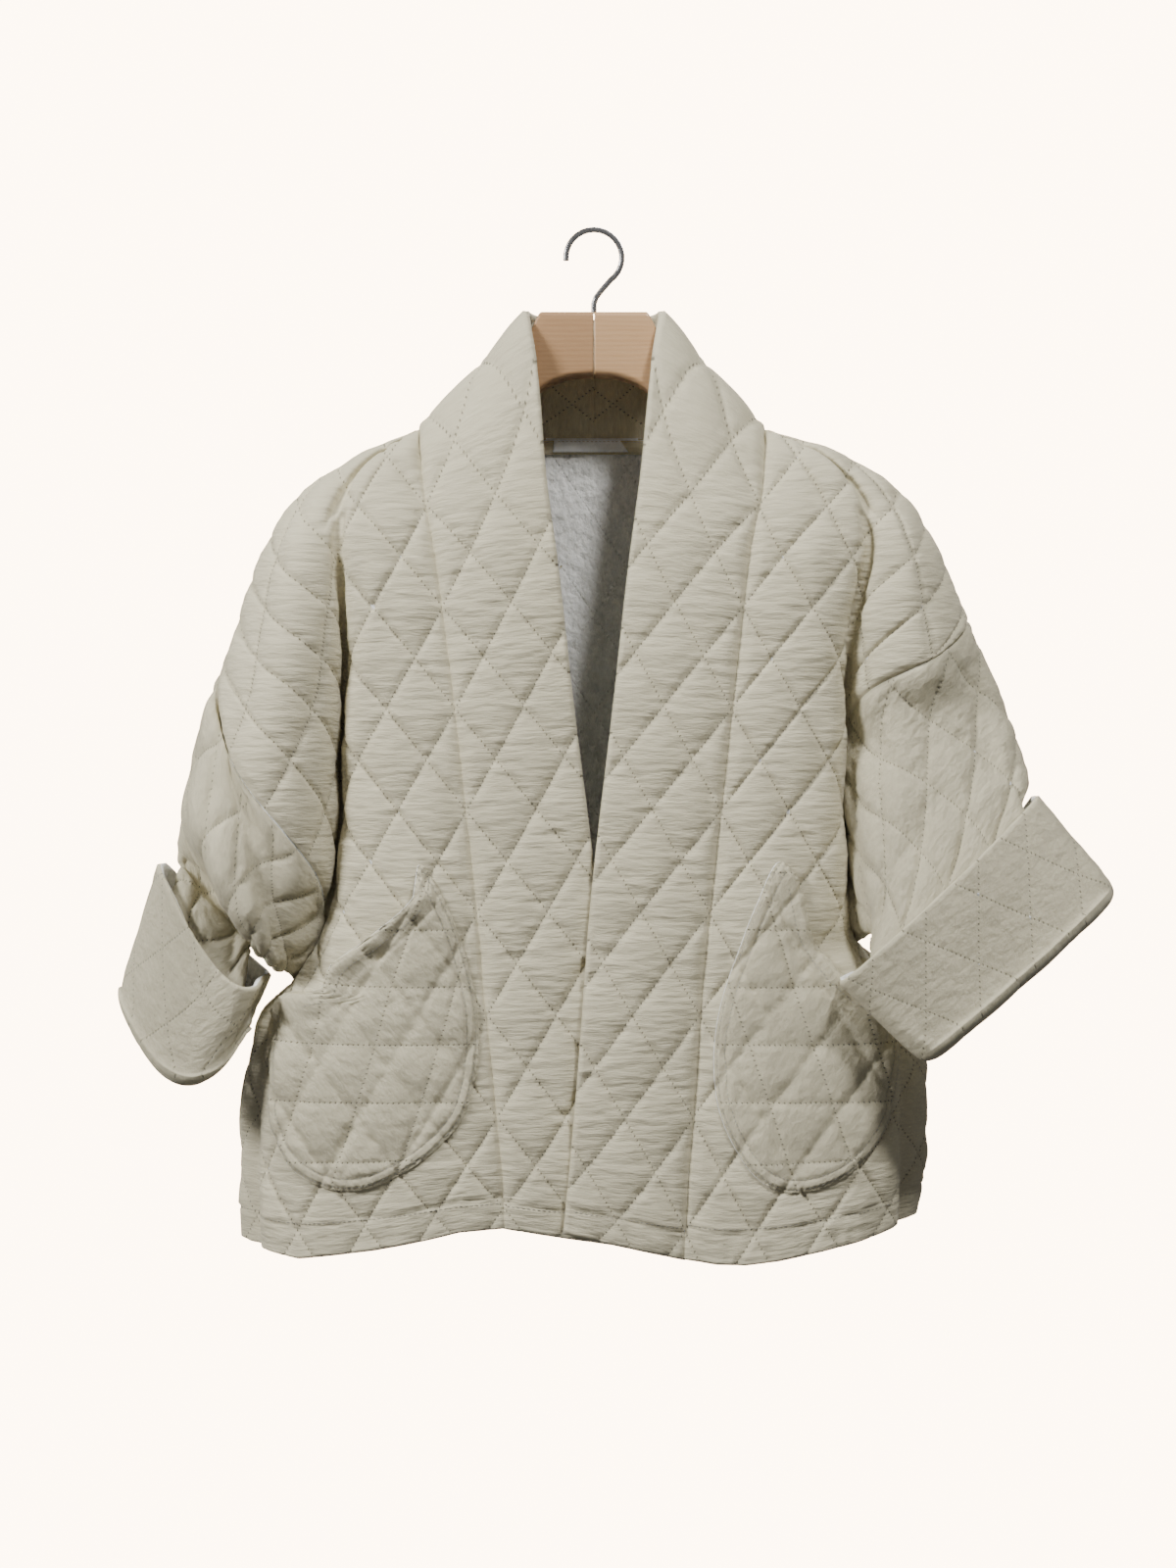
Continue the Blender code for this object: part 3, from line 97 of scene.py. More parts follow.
# The same levels through the back
rearColumns = ("drop", "crestX", "crest", "sideX", "dip", "before", "mid", "centre")
rearLeft = (
    (84, 119, 8, 110, 18, 26, 33, 34),
    (105, 170, 10, 150, 20, 28, 33, 34),
    (130, 202, 14, 172, 24, 31, 34, 34),
    (170, 228, 20, 190, 27, 33, 35, 34),
    (225, 250, 28, 193, 24, 34, 37, 34),
    (281, 268, 34, 192, 17, 34, 39, 35),
    (336, 275, 38, 191, 12, 34, 41, 35),
    (391, 268, 38, 191, 12, 34, 42, 36),
    (430, 214, 25, 189, 13, 34, 42, 36),
    (448, 189, 4.5, 188, 4, 34, 43, 36),
    (470, 205, 13, 200, 18, 35, 43, 37),
    (500, 220, 18, 213, 25, 37, 44, 38),
    (548, 231, 20, 222, 29, 39, 45, 40),
    (600, 231, 20, 222, 30, 40, 46, 42),
    (655, 226, 21, 218, 31, 42, 48, 44),
)
rearRight = (
    (84, 121, 8, 112, 18, 26, 33, 34),
    (105, 160, 10, 144, 20, 28, 33, 34),
    (130, 194, 14, 165, 24, 31, 34, 34),
    (170, 219, 20, 183, 27, 33, 35, 34),
    (225, 238, 28, 186, 25, 34, 37, 34),
    (281, 254, 34, 187, 19, 34, 39, 35),
    (336, 262, 38, 188, 14, 34, 41, 35),
    (391, 262, 38, 190, 10, 34, 42, 36),
    (430, 246, 34, 196, 12, 34, 42, 36),
    (450, 228, 22, 204, 13, 34, 43, 36),
    (476, 215, 4.5, 214, 4, 35, 43, 37),
    (500, 232, 16, 225, 22, 37, 44, 38),
    (548, 243, 20, 234, 29, 39, 45, 40),
    (600, 246, 20, 237, 30, 40, 46, 42),
    (655, 245, 21, 237, 31, 42, 48, 44),
)
# Where the armhole seam crosses a level: 1 is the outermost line, 0 the valley
armholes = {
    "left": {
        "top": 219.0, "pit": armpitLeft,
        "front": ((219, 1.0), (245, 0.6), (272, 0.2), (296, 0.0), (448, 0.0)),
        "rear": ((219, 1.0), (281, 0.62), (336, 0.42), (391, 0.22), (448, 0.0)),
    },
    "right": {
        "top": 256.0, "pit": armpitRight,
        "front": ((256, 1.0), (330, 0.6), (365, 0.42), (405, 0.2), (436, 0.0), (476, 0.0)),
        "rear": ((256, 1.0), (330, 0.6), (391, 0.3), (440, 0.1), (476, 0.0)),
    },
}
# How far the hem hangs below or above its mean, by x
hemWave = (
    (-250, 4), (-205, 9.5), (-150, 2), (-118, -4), (-93, -9.5), (-55, -12), (-22, -10),
    (-10, -4), (30, 4), (60, 9.5), (85, 13), (105, 13), (127, 10), (155, 4), (180, -1.5),
    (208, -9), (230, -14),
)
hemWaveFrom = 560.0    # the drop where the hem's wave begins

# Rings of each sleeve below the armhole, inner end and outer end of the flattened ring.
# front, back: how far the cloth bulges; the shifts move the middle of each half.
sleeveColumns = ("inX", "inDrop", "inY", "outX", "outDrop", "outY", "front", "back",
                  "frontShiftX", "frontShiftDrop", "backShiftX", "backShiftDrop")
sleeveLeft = (
    (196, 441, -24, 280, 262, -2, 34, 36, -30, -14, 18, 6),
    (195, 448, -42, 295, 302, -10, 32, 30, -18, -8, 12, 4),
    (193, 456, -57, 300, 332, -26, 27, 20, -8, -2, 6, 2),
    (194, 466, -67, 299, 353, -40, 21, 21, 0, 0, 0, 0),
    (209, 489, -73, 322, 383, -46, 18, 18, 0, 0, 0, 0),
)
sleeveLeftEnd = (229.5, 512.5, -74, 346.5, 413.5, -50, 17, 17, 0, 0, 0, 0)
cuffLeftEdge = (171, 470, -62, 306, 346, -40, 40, 42, 0, 0, 14, 20)
sleeveRight = (
    (220, 466, -4, 274, 288, 0, 50, 36, -10, 0, 10, 2),
    (226, 460, -10, 286, 345, -2, 56, 36, 0, 0, 6, 0),
    (232, 455, -13, 290, 370, -6, 16, 34, -2, 4, 2, 0),
    (238, 452, -15, 291, 388, -10, 4, 30, 0, 0, 0, 2),
    (246, 455, -16, 293, 403, -12, 28, 28, -8, 32, 0, 10),
)
sleeveRightEnd = (255, 503, -16, 322, 482, -14, 32, 30, -4, 42, 0, 14)
cuffRightEdge = (232, 472, -16, 305, 393, -12, 43, 41, -8, 32, 0, 10)
foldRadius = 4.2        # half of the turned-up cuff's thickness between its linings

# The band's free edge, by its place along the seam: below the neck the place is minus the
# drop under the neck seam, past it the distance round the neck to the centre back.
# Columns: place, x, y, drop.
bandLeftFree = (
    (-571, -20, -52, 655), (-426, -8, -50, 510), (-346, -2, -47, 428), (-197, 15, -44, 277),
    (-110, 25, -41, 186), (-46, 34.5, -34, 112), (-18, 39, -27, 62), (0, 43, -17, 24),
    (25, 46, -3, 2), (50, 45, 12, -1), (88, 34, 24, 0), (150, 0, 30, 0),
)
bandRightFree = (
    (-571, -20, -39, 655), (-426, -8, -38, 510), (-346, -2, -38, 428), (-197, 16, -39, 277),
    (-110, 26, -40, 186), (-46, 35.5, -34, 112), (-18, 39, -27, 62), (0, 43, -17, 24),
    (25, 46, -3, 2), (50, 45, 12, -1), (88, 34, 24, 0), (152, 0, 30, 0),
)

# Teardrop pockets on the fronts: distance from the band seam and drop, mouth first
pocketLeft = (
    (44, 390), (56, 400), (70, 440), (85, 461), (114, 486), (143, 499), (142, 545), (134, 578),
    (117, 602), (84, 615), (60, 612), (39, 596), (19, 563), (12.5, 530), (14, 494), (24, 450),
    (33, 418),
)
pocketRight = (
    (36, 392), (42, 414), (70, 440), (100, 463), (112, 482), (150, 494), (160, 540), (158, 578),
    (143, 601), (117, 614), (88, 613), (56, 598), (27, 571), (11, 530), (7, 488), (14, 446),
    (26, 410),
)

# slopes of a smooth curve that never overshoots its points
def slopes(xs, ys):
    steps = np.diff(xs)
    rises = np.diff(ys) / steps
    result = np.zeros(len(xs))
    result[0] = rises[0]
    result[-1] = rises[-1]
    for i in range(1, len(xs) - 1):
        if rises[i - 1] * rises[i] > 0:
            near = 2 * steps[i] + steps[i - 1]
            far = steps[i] + 2 * steps[i - 1]
            result[i] = (near + far) / (near / rises[i - 1] + far / rises[i])
    return result


# read the smooth curve through (xs, ys)
def follow(xs, ys, at):
    xs = np.asarray(xs, float)
    ys = np.asarray(ys, float)
    tangents = slopes(xs, ys)
    at = np.clip(at, xs[0], xs[-1])
    i = np.clip(np.searchsorted(xs, at, side="right") - 1, 0, len(xs) - 2)
    step = xs[i + 1] - xs[i]
    u = (at - xs[i]) / step
    return ((1 + 2 * u) * (1 - u) ** 2 * ys[i] + u * (1 - u) ** 2 * step * tangents[i]
            + u * u * (3 - 2 * u) * ys[i + 1] + u * u * (u - 1) * step * tangents[i + 1])


# one level of a table, as a dictionary by column
def tableRow(columns, table, drop):
    drops = [row[0] for row in table]
    return {name: float(follow(drops, [row[i] for row in table], drop))
            for i, name in enumerate(columns) if i}


# a centripetal curve through the points, with the index of each point on it
def smoothLine(points, perSpan=16):
    points = np.asarray(points, float)
    padded = np.vstack([2 * points[0] - points[1], points, 2 * points[-1] - points[-2]])
    knots = np.concatenate([[0], np.cumsum(np.sqrt(
        np.linalg.norm(np.diff(padded, axis=0), axis=1) + 1e-9))])
    line = []
    for i in range(1, len(padded) - 2):
        t0, t1, t2, t3 = knots[i - 1:i + 3]
        t = np.linspace(t1, t2, perSpan, endpoint=False)[:, None]
        a1 = (t1 - t) / (t1 - t0) * padded[i - 1] + (t - t0) / (t1 - t0) * padded[i]
        a2 = (t2 - t) / (t2 - t1) * padded[i] + (t - t1) / (t2 - t1) * padded[i + 1]
        a3 = (t3 - t) / (t3 - t2) * padded[i + 1] + (t - t2) / (t3 - t2) * padded[i + 2]
        b1 = (t2 - t) / (t2 - t0) * a1 + (t - t0) / (t2 - t0) * a2
        b2 = (t3 - t) / (t3 - t1) * a2 + (t - t1) / (t3 - t1) * a3
        line.append((t2 - t) / (t2 - t1) * b1 + (t - t1) / (t2 - t1) * b2)
    line.append(points[-1:])
    return np.vstack(line), [i * perSpan for i in range(len(points))]


# distance along a line at each of its points
def lengths(line):
    return np.concatenate([[0], np.cumsum(np.linalg.norm(np.diff(line, axis=0), axis=1))])


# points at given distances along a line
def readLine(line, along, at):
    return np.stack([np.interp(at, along, line[:, k]) for k in range(line.shape[1])], axis=-1)


# the ten places that shape one side's level, from the band seam to the centre back
def sidePoints(side, drop):
    frontTable, rearTable = ((frontLeft, rearLeft) if side == "left"
                               else (frontRight, rearRight))
    f = tableRow(frontColumns, frontTable, drop)
    r = tableRow(rearColumns, rearTable, drop)
    reach = f["side"] - f["seam"]
    lobe = f["edge"] - f["side"]
    points = [
        (f["seam"], f["seamY"]),
        (f["seam"] + 0.45 * reach, f["chest"]),
        (f["seam"] + 0.84 * reach, f["chest"] + 0.3 * (f["dip"] - f["chest"])),
        (f["side"], f["dip"]),
        (f["side"] + 0.14 * lobe, f["crest"] + 0.3 * (f["dip"] - f["crest"])),
        (f["side"] + 0.5 * lobe, f["crest"]),
        (f["edge"], f["edgeY"]),
        (r["crestX"], r["crest"]),
        (r["sideX"], r["dip"]),
        (0.85 * r["sideX"], r["before"]),
        (0.5 * r["sideX"], r["mid"]),
        (0.0, r["centre"]),
    ]
    sign = 1 if side == "left" else -1
    return [(sign * x, y) for x, y in points]


perSpan = 16
sideAt, edgeAt, rearSideAt = 3, 6, 8
levelsMade = {}


# the whole cut at one drop: left band seam, round the back, to the right band seam
def level(drop):
    key = round(float(drop), 4)
    if key not in levelsMade:
        points = sidePoints("left", key) + sidePoints("right", key)[-2::-1]
        levelsMade[key] = smoothLine(points, perSpan)[0]
    return levelsMade[key]


# where a panel's row ends on the level, as a distance along it
def cut(side, face, drop):
    line = level(drop)
    along = lengths(line)
    last = len(line) - 1
    hole = armholes[side]
    names = (sideAt, edgeAt) if face == "front" else (rearSideAt, edgeAt)
    marks = [m * perSpan for m in names]
    if side == "right":
        marks = [last - m for m in marks]
    inner, outer = along[marks[0]], along[marks[1]]
    if drop <= hole["top"]:
        share = 1.0
    elif drop >= hole["pit"]:
        share = 0.0
        if face == "rear":
            seam = sideAt * perSpan if side == "left" else last - sideAt * perSpan
            inner = along[seam]
    else:
        drops, shares = zip(*hole[face])
        share = float(follow(drops, shares, drop))
    return inner + share * (outer - inner)


# the hem's own wave, fading out upwards
def hemShift(x, drop):
    xs, shifts = zip(*hemWave)
    fade = np.clip((drop - hemWaveFrom) / (hemDrop - hemWaveFrom), 0, 1) ** 1.5
    return np.interp(x, xs, shifts) * fade


# level points as x, y, z in millimetres
def toSpace(line, drop):
    z = blockTop - drop - hemShift(line[:, 0], drop)
    return np.column_stack([line[:, 0], line[:, 1], z])


sinkTest = 4.0          # a wall this thick is tried on the form to find its hollows
sinkStep = 3            # over this many grid points each way
sinkGain = 5.0
sinkSpread = 10


# how far the wall sinks behind its form: 1 in a hollow, 0 where the cloth is flat
def sinkField(p, n, loop=False):
    q = p + n * sinkTest
    tight = np.ones(p.shape[:2])
    for axis in (0, 1):
        size = p.shape[axis]
        low = np.maximum(np.arange(size) - sinkStep, 0)
        high = np.minimum(np.arange(size) + sinkStep, size - 1)
        before = np.take(p, high, axis) - np.take(p, low, axis)
        after = np.take(q, high, axis) - np.take(q, low, axis)
        reach = np.sum(before * before, axis=2)
        tight = np.minimum(tight, np.sum(before * after, axis=2) / np.maximum(reach, 1e-6))
    sink = np.clip((1 - tight) * sinkGain, 0, 1)
    for _ in range(sinkSpread):
        for axis in (0, 1):
            size = p.shape[axis]
            low = np.maximum(np.arange(size) - 1, 0)
            high = np.minimum(np.arange(size) + 1, size - 1)
            sink = np.maximum(sink, 0.97 * (np.take(sink, low, axis) + 2 * sink
                                            + np.take(sink, high, axis)) / 4)
    if loop:
        sink[:, 0] = sink[:, -1] = np.maximum(sink[:, 0], sink[:, -1])
    return sink


# a body panel as a grid: places, outward normals and pattern coordinates
def bodyGrid(face, side, drops, columns):
    p, across, s, t = [], [], [], []
    for drop in drops:
        line = level(drop)
        along = lengths(line)
        if face == "rear":
            start, stop = cut("left", "rear", drop), cut("right", "rear", drop)
            origin = along[(len(line) - 1) // 2]
        elif side == "left":
            start, stop, origin = 0.0, cut("left", "front", drop), 0.0
        else:
            start, stop, origin = cut("right", "front", drop), along[-1], along[-1]
        at = np.linspace(start + seamGap, stop - seamGap, columns)
        p.append(toSpace(readLine(line, along, at), drop))
        s.append(at - origin)
        t.append(np.full(columns, float(drop)))
        mids = (along[1:] + along[:-1]) / 2
        step = readLine(np.diff(line, axis=0), mids, at)
        across.append(np.column_stack([step, np.zeros(columns)]))
    p = np.array(p)
    n = np.cross(np.gradient(p, axis=0), np.array(across))
    n /= np.linalg.norm(n, axis=2, keepdims=True) + 1e-12
    return {"p": p, "n": n, "s": np.array(s), "t": np.array(t), "sink": sinkField(p, n)}


# unit normals of a grid of points, the columns closing on themselves in a loop
def gridNormals(p, loop=False):
    down = np.gradient(p, axis=0)
    if loop:
        wide = np.concatenate([p[:, -3:-1], p, p[:, 1:3]], axis=1)
        across = np.gradient(wide, axis=1)[:, 2:-2]
    else:
        across = np.gradient(p, axis=1)
    n = np.cross(down, across)
    return n / (np.linalg.norm(n, axis=2, keepdims=True) + 1e-12)


# a flattened ring of a sleeve: front half from the inner end out, back half home
def flatRing(row, grow=0.0, shift=0.0, columns=65):
    ring = dict(zip(sleeveColumns, row))
    inner = np.array([ring["inX"], ring["inY"], ring["inDrop"]])
    outer = np.array([ring["outX"], ring["outY"], ring["outDrop"]])
    span = outer - inner
    reach = math.hypot(span[0], span[2])
    unit = np.array([span[0] / reach, 0.0, span[2] / reach])
    upArm = np.array([unit[2], 0.0, -unit[0]])
    inner = inner - unit * grow - upArm * shift
    outer = outer + unit * grow - upArm * shift
    halves = []
    for depth, face, order in ((-ring["front"] - grow, "front", 1),
                               (ring["back"] + grow, "back", -1)):
        push = (ring[face + "ShiftX"], 0.0, ring[face + "ShiftDrop"])
        u = np.linspace(0, 1, 81)
        bulge = np.sin(math.pi * u)
        half = inner + np.outer((1 - np.cos(math.pi * u)) / 2, outer - inner)
        half = half + np.outer(bulge ** 2, push)
        half[:, 1] += depth * bulge ** 0.75
        if order < 0:
            half = half[::-1]
        along = lengths(half)
        halves.append(readLine(half, along, np.linspace(0, along[-1], (columns + 1) // 2)))
    return np.vstack([halves[0], halves[1][1:]])


# the armhole seam from the armpit up the front and down the back
def armholeRing(side, columns=65):
    hole = armholes[side]
    drops = np.linspace(hole["pit"] - 2 * seamGap, hole["top"] + 2 * seamGap, 90)
    halves = []
    for face in ("front", "rear"):
        outwards = 1 if (side == "left") == (face == "front") else -1
        half = []
        for drop in drops:
            line = level(drop)
            at = np.array([cut(side, face, drop) + outwards * seamGap])
            x, y = readLine(line, lengths(line), at)[0]
            half.append((abs(x), y, drop))
        half = np.array(half)
        if face == "rear":
            half = half[::-1]
        along = lengths(half)
        halves.append(readLine(half, along, np.linspace(0, along[-1], (columns + 1) // 2)))
    middle = (halves[0][-1] + halves[1][0]) / 2
    halves[0][-1] = middle
    return np.vstack([halves[0], halves[1][1:]])


ringSpan = 14


# a sleeve from the armhole to the fold, and its turned-up cuff, as one grid
def sleeveGrid(side, columns):
    rows, end, edge = ((sleeveLeft, sleeveLeftEnd, cuffLeftEdge) if side == "left"
                       else (sleeveRight, sleeveRightEnd, cuffRightEdge))
    rings = [armholeRing(side, columns)]
    rings += [flatRing(row, columns=columns) for row in rows]
    rings.append(flatRing(end, columns=columns))
    for angle in (45, 90, 135, 180):
        turn = math.radians(angle)
        rings.append(flatRing(end, foldRadius * (1 - math.cos(turn)),
                               foldRadius * math.sin(turn), columns))
    outside = rings[-1]
    rings.append(0.5 * (outside + flatRing(edge, columns=columns)))
    rings.append(flatRing(edge, columns=columns))
    stack = np.array(rings)
    count, columns, _ = stack.shape
    line, _ = smoothLine(stack.reshape(count, -1), ringSpan)
    p = line.reshape(len(line), columns, 3)
    sign = 1 if side == "left" else -1
    p = np.stack([sign * p[:, :, 0], p[:, :, 1], blockTop - p[:, :, 2]], axis=-1)
    n = gridNormals(p, loop=True) * sign
    foldRow = (len(rows) + 1) * ringSpan
    steps = np.linalg.norm(np.diff(p, axis=0), axis=2)
    t = np.vstack([np.zeros(columns), np.cumsum(steps, axis=0)])
    t = t - t[foldRow]
    roundSteps = np.linalg.norm(np.diff(p, axis=1), axis=2)
    s = np.hstack([np.zeros((len(p), 1)), np.cumsum(roundSteps, axis=1)])
    s = s - s[:, columns // 2:columns // 2 + 1]
    return {"p": p, "n": n, "s": s, "t": t, "sink": sinkField(p, n, loop=True),
            "foldRow": foldRow}


# the collar band from the hem up, over the shoulder and round to the centre back
def bandGrid(side, columns=13):
    freeTable = bandLeftFree if side == "left" else bandRightFree
    places = [row[0] for row in freeTable]
    sign = 1 if side == "left" else -1
    neckline = level(neckDrop)
    if side == "right":
        neckline = neckline[::-1]
    neckAlong = lengths(neckline)
    half = neckAlong[(len(neckline) - 1) // 2]
    drops = np.arange(hemDrop, neckDrop, -rowStep)
    turns = np.linspace(0, half - seamGap, 60)
    seams, marks = [], []
    for drop in drops:
        line = level(drop)
        seams.append(toSpace(line[[0 if side == "left" else -1]], drop)[0])
        marks.append(neckDrop - drop)
    for turn in turns:
        x, y = readLine(neckline, neckAlong, np.array([turn]))[0]
        seams.append((x, y, blockTop - neckDrop))
        marks.append(turn)
    seams, marks = np.array(seams), np.array(marks)
    free = np.column_stack([follow(places, [row[k] for row in freeTable],
                                   marks * np.where(marks > 0, places[-1] / half, 1))
                            for k in (1, 2, 3)])
    free[-1, 0] = seamGap
    shift = hemShift(sign * free[:, 0], free[:, 2])
    free = np.column_stack([sign * free[:, 0], free[:, 1], blockTop - free[:, 2] - shift])
    across = free - seams
    unit = across / np.linalg.norm(across, axis=1, keepdims=True)
    seams = seams + unit * seamGap
    w = np.linspace(0, 1, columns)[None, :, None]
    p = seams[:, None] * (1 - w) + free[:, None] * w
    n = gridNormals(p) * sign
    swell = 2.5 * np.sin(math.pi * w)
    p = p + n * swell
    s = -sign * np.repeat(w[:, :, 0] * bandWidth, len(p), axis=0)
    t = np.repeat((neckDrop - marks)[:, None], columns, axis=1)
    return {"p": p, "n": n, "s": s, "t": t, "sink": sinkField(p, n), "frontRows": len(drops)}


# bilinear reading of a grid at fractional rows and columns
def readGrid(grid, key, rows, cols):
    field = grid[key]
    rows = np.clip(np.asarray(rows, float), 0, field.shape[0] - 1)
    cols = np.clip(np.asarray(cols, float), 0, field.shape[1] - 1)
    r = np.minimum(rows.astype(int), field.shape[0] - 2)
    c = np.minimum(cols.astype(int), field.shape[1] - 2)
    u, v = rows - r, cols - c
    if field.ndim == 3:
        u, v = u[:, None], v[:, None]
    return ((1 - u) * (1 - v) * field[r, c] + u * (1 - v) * field[r + 1, c]
            + (1 - u) * v * field[r, c + 1] + u * v * field[r + 1, c + 1])


# The hanger: one row for each upright cut of an arm, outwards from the glued middle.
# Columns: x, top, bottom, thick.
hangerArm = (
    (0.3, 0, 45, 20), (14, 0, 46, 20), (28, 0, 50, 20), (37, 0, 55, 20), (46, 14.6, 64, 20),
    (60, 33.6, 76, 18), (80, 58.7, 92, 16), (104, 82.8, 112, 15), (126, 100, 126, 15),
    (150, 111, 135, 15), (175, 122, 144, 14), (194, 134, 154, 12), (204, 143, 156, 9),
)


noiseTable = np.random.default_rng(7).random((256, 256))


# smooth noise from -1 to 1 on a seeded table
def softNoise(a, b, seed=0):
    a, b = a + 17.3 * seed, b + 9.1 * seed
    i, j = np.floor(a).astype(int), np.floor(b).astype(int)
    u, v = a - i, b - j
    u, v = u * u * (3 - 2 * u), v * v * (3 - 2 * v)
    i0, i1, j0, j1 = i % 256, (i + 1) % 256, j % 256, (j + 1) % 256
    return 2 * ((1 - u) * (1 - v) * noiseTable[i0, j0] + u * (1 - v) * noiseTable[i1, j0]
                + (1 - u) * v * noiseTable[i0, j1] + u * v * noiseTable[i1, j1]) - 1


def softStep(x):
    x = np.clip(x, 0, 1)
    return x * x * (3 - 2 * x)


lineGap = diamondWide * diamondTall / math.hypot(diamondWide, diamondTall)


# distance to the nearest stitched line of each family
def quiltLines(s, t):
    u = s / diamondWide + t / diamondTall
    v = s / diamondWide - t / diamondTall
    return np.abs(u - np.round(u)) * lineGap, np.abs(v - np.round(v)) * lineGap


# how far each point of a grid is from its four edges
def edgeRooms(p):
    down = np.linalg.norm(np.diff(p, axis=0), axis=2)
    across = np.linalg.norm(np.diff(p, axis=1), axis=2)
    top = np.vstack([np.zeros((1, p.shape[1])), np.cumsum(down, axis=0)])
    first = np.hstack([np.zeros((p.shape[0], 1)), np.cumsum(across, axis=1)])
    return {"first": first, "last": first[:, -1:] - first, "top": top, "bottom": top[-1:] - top}


# the quilting's relief over the wall: pillows, stitched grooves and the puckers beside them
def quiltRelief(s, t, look):
    toU, toV = quiltLines(s, t)
    if look["strong"] == "v":
        toU, toV = toV, toU
    pillow = (np.sin(np.pi * toU / lineGap) * np.sin(np.pi * toV / lineGap)) ** 0.6
    groove = look["groove"] * (np.exp(-(toU / 1.5) ** 2) + 0.85 * np.exp(-(toV / 1.5) ** 2))
    near = np.exp(-toU / 7) + 0.6 * np.exp(-toV / 7)
    wide, tall = look["crinkle"]
    pucker = 0.75 * near * softNoise(s / (0.6 * wide), t / tall, 2)
    patchy = 0.55 + 0.45 * softNoise(s / 45, t / 38, 11)
    crinkle = 0.4 * patchy * (1 - 2 * np.abs(softNoise(s / wide, t / (1.6 * tall), 1)))
    return look["puff"] * pillow - groove + look["wrinkle"] * (pucker + crinkle) \
        + 0.5 * softNoise(s / 50, t / 60, 3)


# soft troughs and ridges laid one by one: x, drop to x, drop, then width and height
def pressFolds(grid, folds, facing):
    p, n = grid["p"], grid["n"]
    x, drop = p[:, :, 0], blockTop - p[:, :, 2]
    side = softStep(-facing * n[:, :, 1] * 1.6 + 0.2)
    lift = np.zeros(x.shape)
    for x0, d0, x1, d1, width, height in folds:
        dx, dd = x1 - x0, d1 - d0
        along = np.clip(((x - x0) * dx + (drop - d0) * dd) / (dx * dx + dd * dd), 0, 1)
        off = np.hypot(x - x0 - along * dx, drop - d0 - along * dd)
        lift += height * np.exp(-(off / width) ** 2) * side
    return lift


def newObject(name, mesh):
    thing = bpy.data.objects.new(name, mesh)
    bpy.context.scene.collection.objects.link(thing)
    return thing


# one closed cloth from its outer and inner points: a grid wrapped round its own rims
def closedCloth(name, outer, inner, s, t, finishes, loop=False, lining=None, rim=1.2):
    def unit(v):
        return v / (np.linalg.norm(v, axis=-1, keepdims=True) + 1e-9)
    rows, cols = s.shape
    middle = (outer + inner) / 2
    if loop:
        low = middle[-1:] + rim * unit(middle[-1:] - middle[-2:-1])
        high = middle[:1]
        points = np.concatenate([outer, low, inner[::-1], high, outer[:1]])
        sAll, tAll = (np.concatenate([f, f[-1:], f[::-1], f[:1], f[:1]]) for f in (s, t))
        turned = np.zeros(len(points) - 1)
        turned[rows:] = 1
        order = np.concatenate([np.arange(rows), [rows - 1], np.arange(rows)[::-1], [0]])
        finish = np.where(order >= lining, 1 - turned, turned)
        finish = np.repeat(finish[:, None], cols - 1, axis=1)
    else:
        right = middle[:, -1:] + rim * unit(middle[:, -1:] - middle[:, -2:-1])
        left = middle[:, :1] + rim * unit(middle[:, :1] - middle[:, 1:2])
        ring = np.concatenate([outer, right, inner[:, ::-1], left, outer[:, :1]], axis=1)
        mids = np.concatenate([middle, right, middle[:, ::-1], left, middle[:, :1]], axis=1)
        top = mids[:1] + rim * unit(mids[:1] - mids[1:2])
        bottom = mids[-1:] + rim * unit(mids[-1:] - mids[-2:-1])
        points = np.concatenate([top, ring, bottom])
        sAll, tAll = (np.concatenate([f, f[:, -1:], f[:, ::-1], f[:, :1], f[:, :1]], axis=1)
                      for f in (s, t))
        sAll, tAll = (np.concatenate([f[:1], f, f[-1:]]) for f in (sAll, tAll))
        finish = np.zeros((len(points) - 1, points.shape[1] - 1))
        finish[:, cols:] = 1
    high, wide = points.shape[:2]
    work = bmesh.new()
    bmesh.ops.create_grid(work, x_segments=wide - 1, y_segments=high - 1, size=0.5)
    mesh = bpy.data.meshes.new(name)
    work.to_mesh(mesh)
    work.free()
    mesh.vertices.foreach_set("co", (points.reshape(-1, 3) * 0.001).ravel())
    corners = np.zeros(len(mesh.loops), int)
    mesh.loops.foreach_get("vertex_index", corners)
    uv = mesh.uv_layers.new(name="cloth")
    places = np.column_stack([sAll.ravel(), tAll.ravel()])[corners] * 0.001
    uv.data.foreach_set("uv", places.ravel())
    starts = np.zeros(len(mesh.polygons), int)
    mesh.polygons.foreach_get("loop_start", starts)
    least = corners[starts[:, None] + np.arange(4)].min(axis=1)
    mesh.polygons.foreach_set("material_index", finish[least // wide, least % wide].astype(int))
    for made in finishes:
        mesh.materials.append(made)
    work = bmesh.new()
    work.from_mesh(mesh)
    bmesh.ops.remove_doubles(work, verts=work.verts, dist=0.00002)
    bmesh.ops.dissolve_degenerate(work, edges=work.edges, dist=0.000002)
    if work.calc_volume(signed=True) < 0:
        bmesh.ops.reverse_faces(work, faces=work.faces)
    for face in work.faces:
        face.smooth = True
    work.to_mesh(mesh)
    work.free()
    thing = newObject(name, mesh)
    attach(thing, "root")
    print(name, len(mesh.polygons), "faces")
    return thing


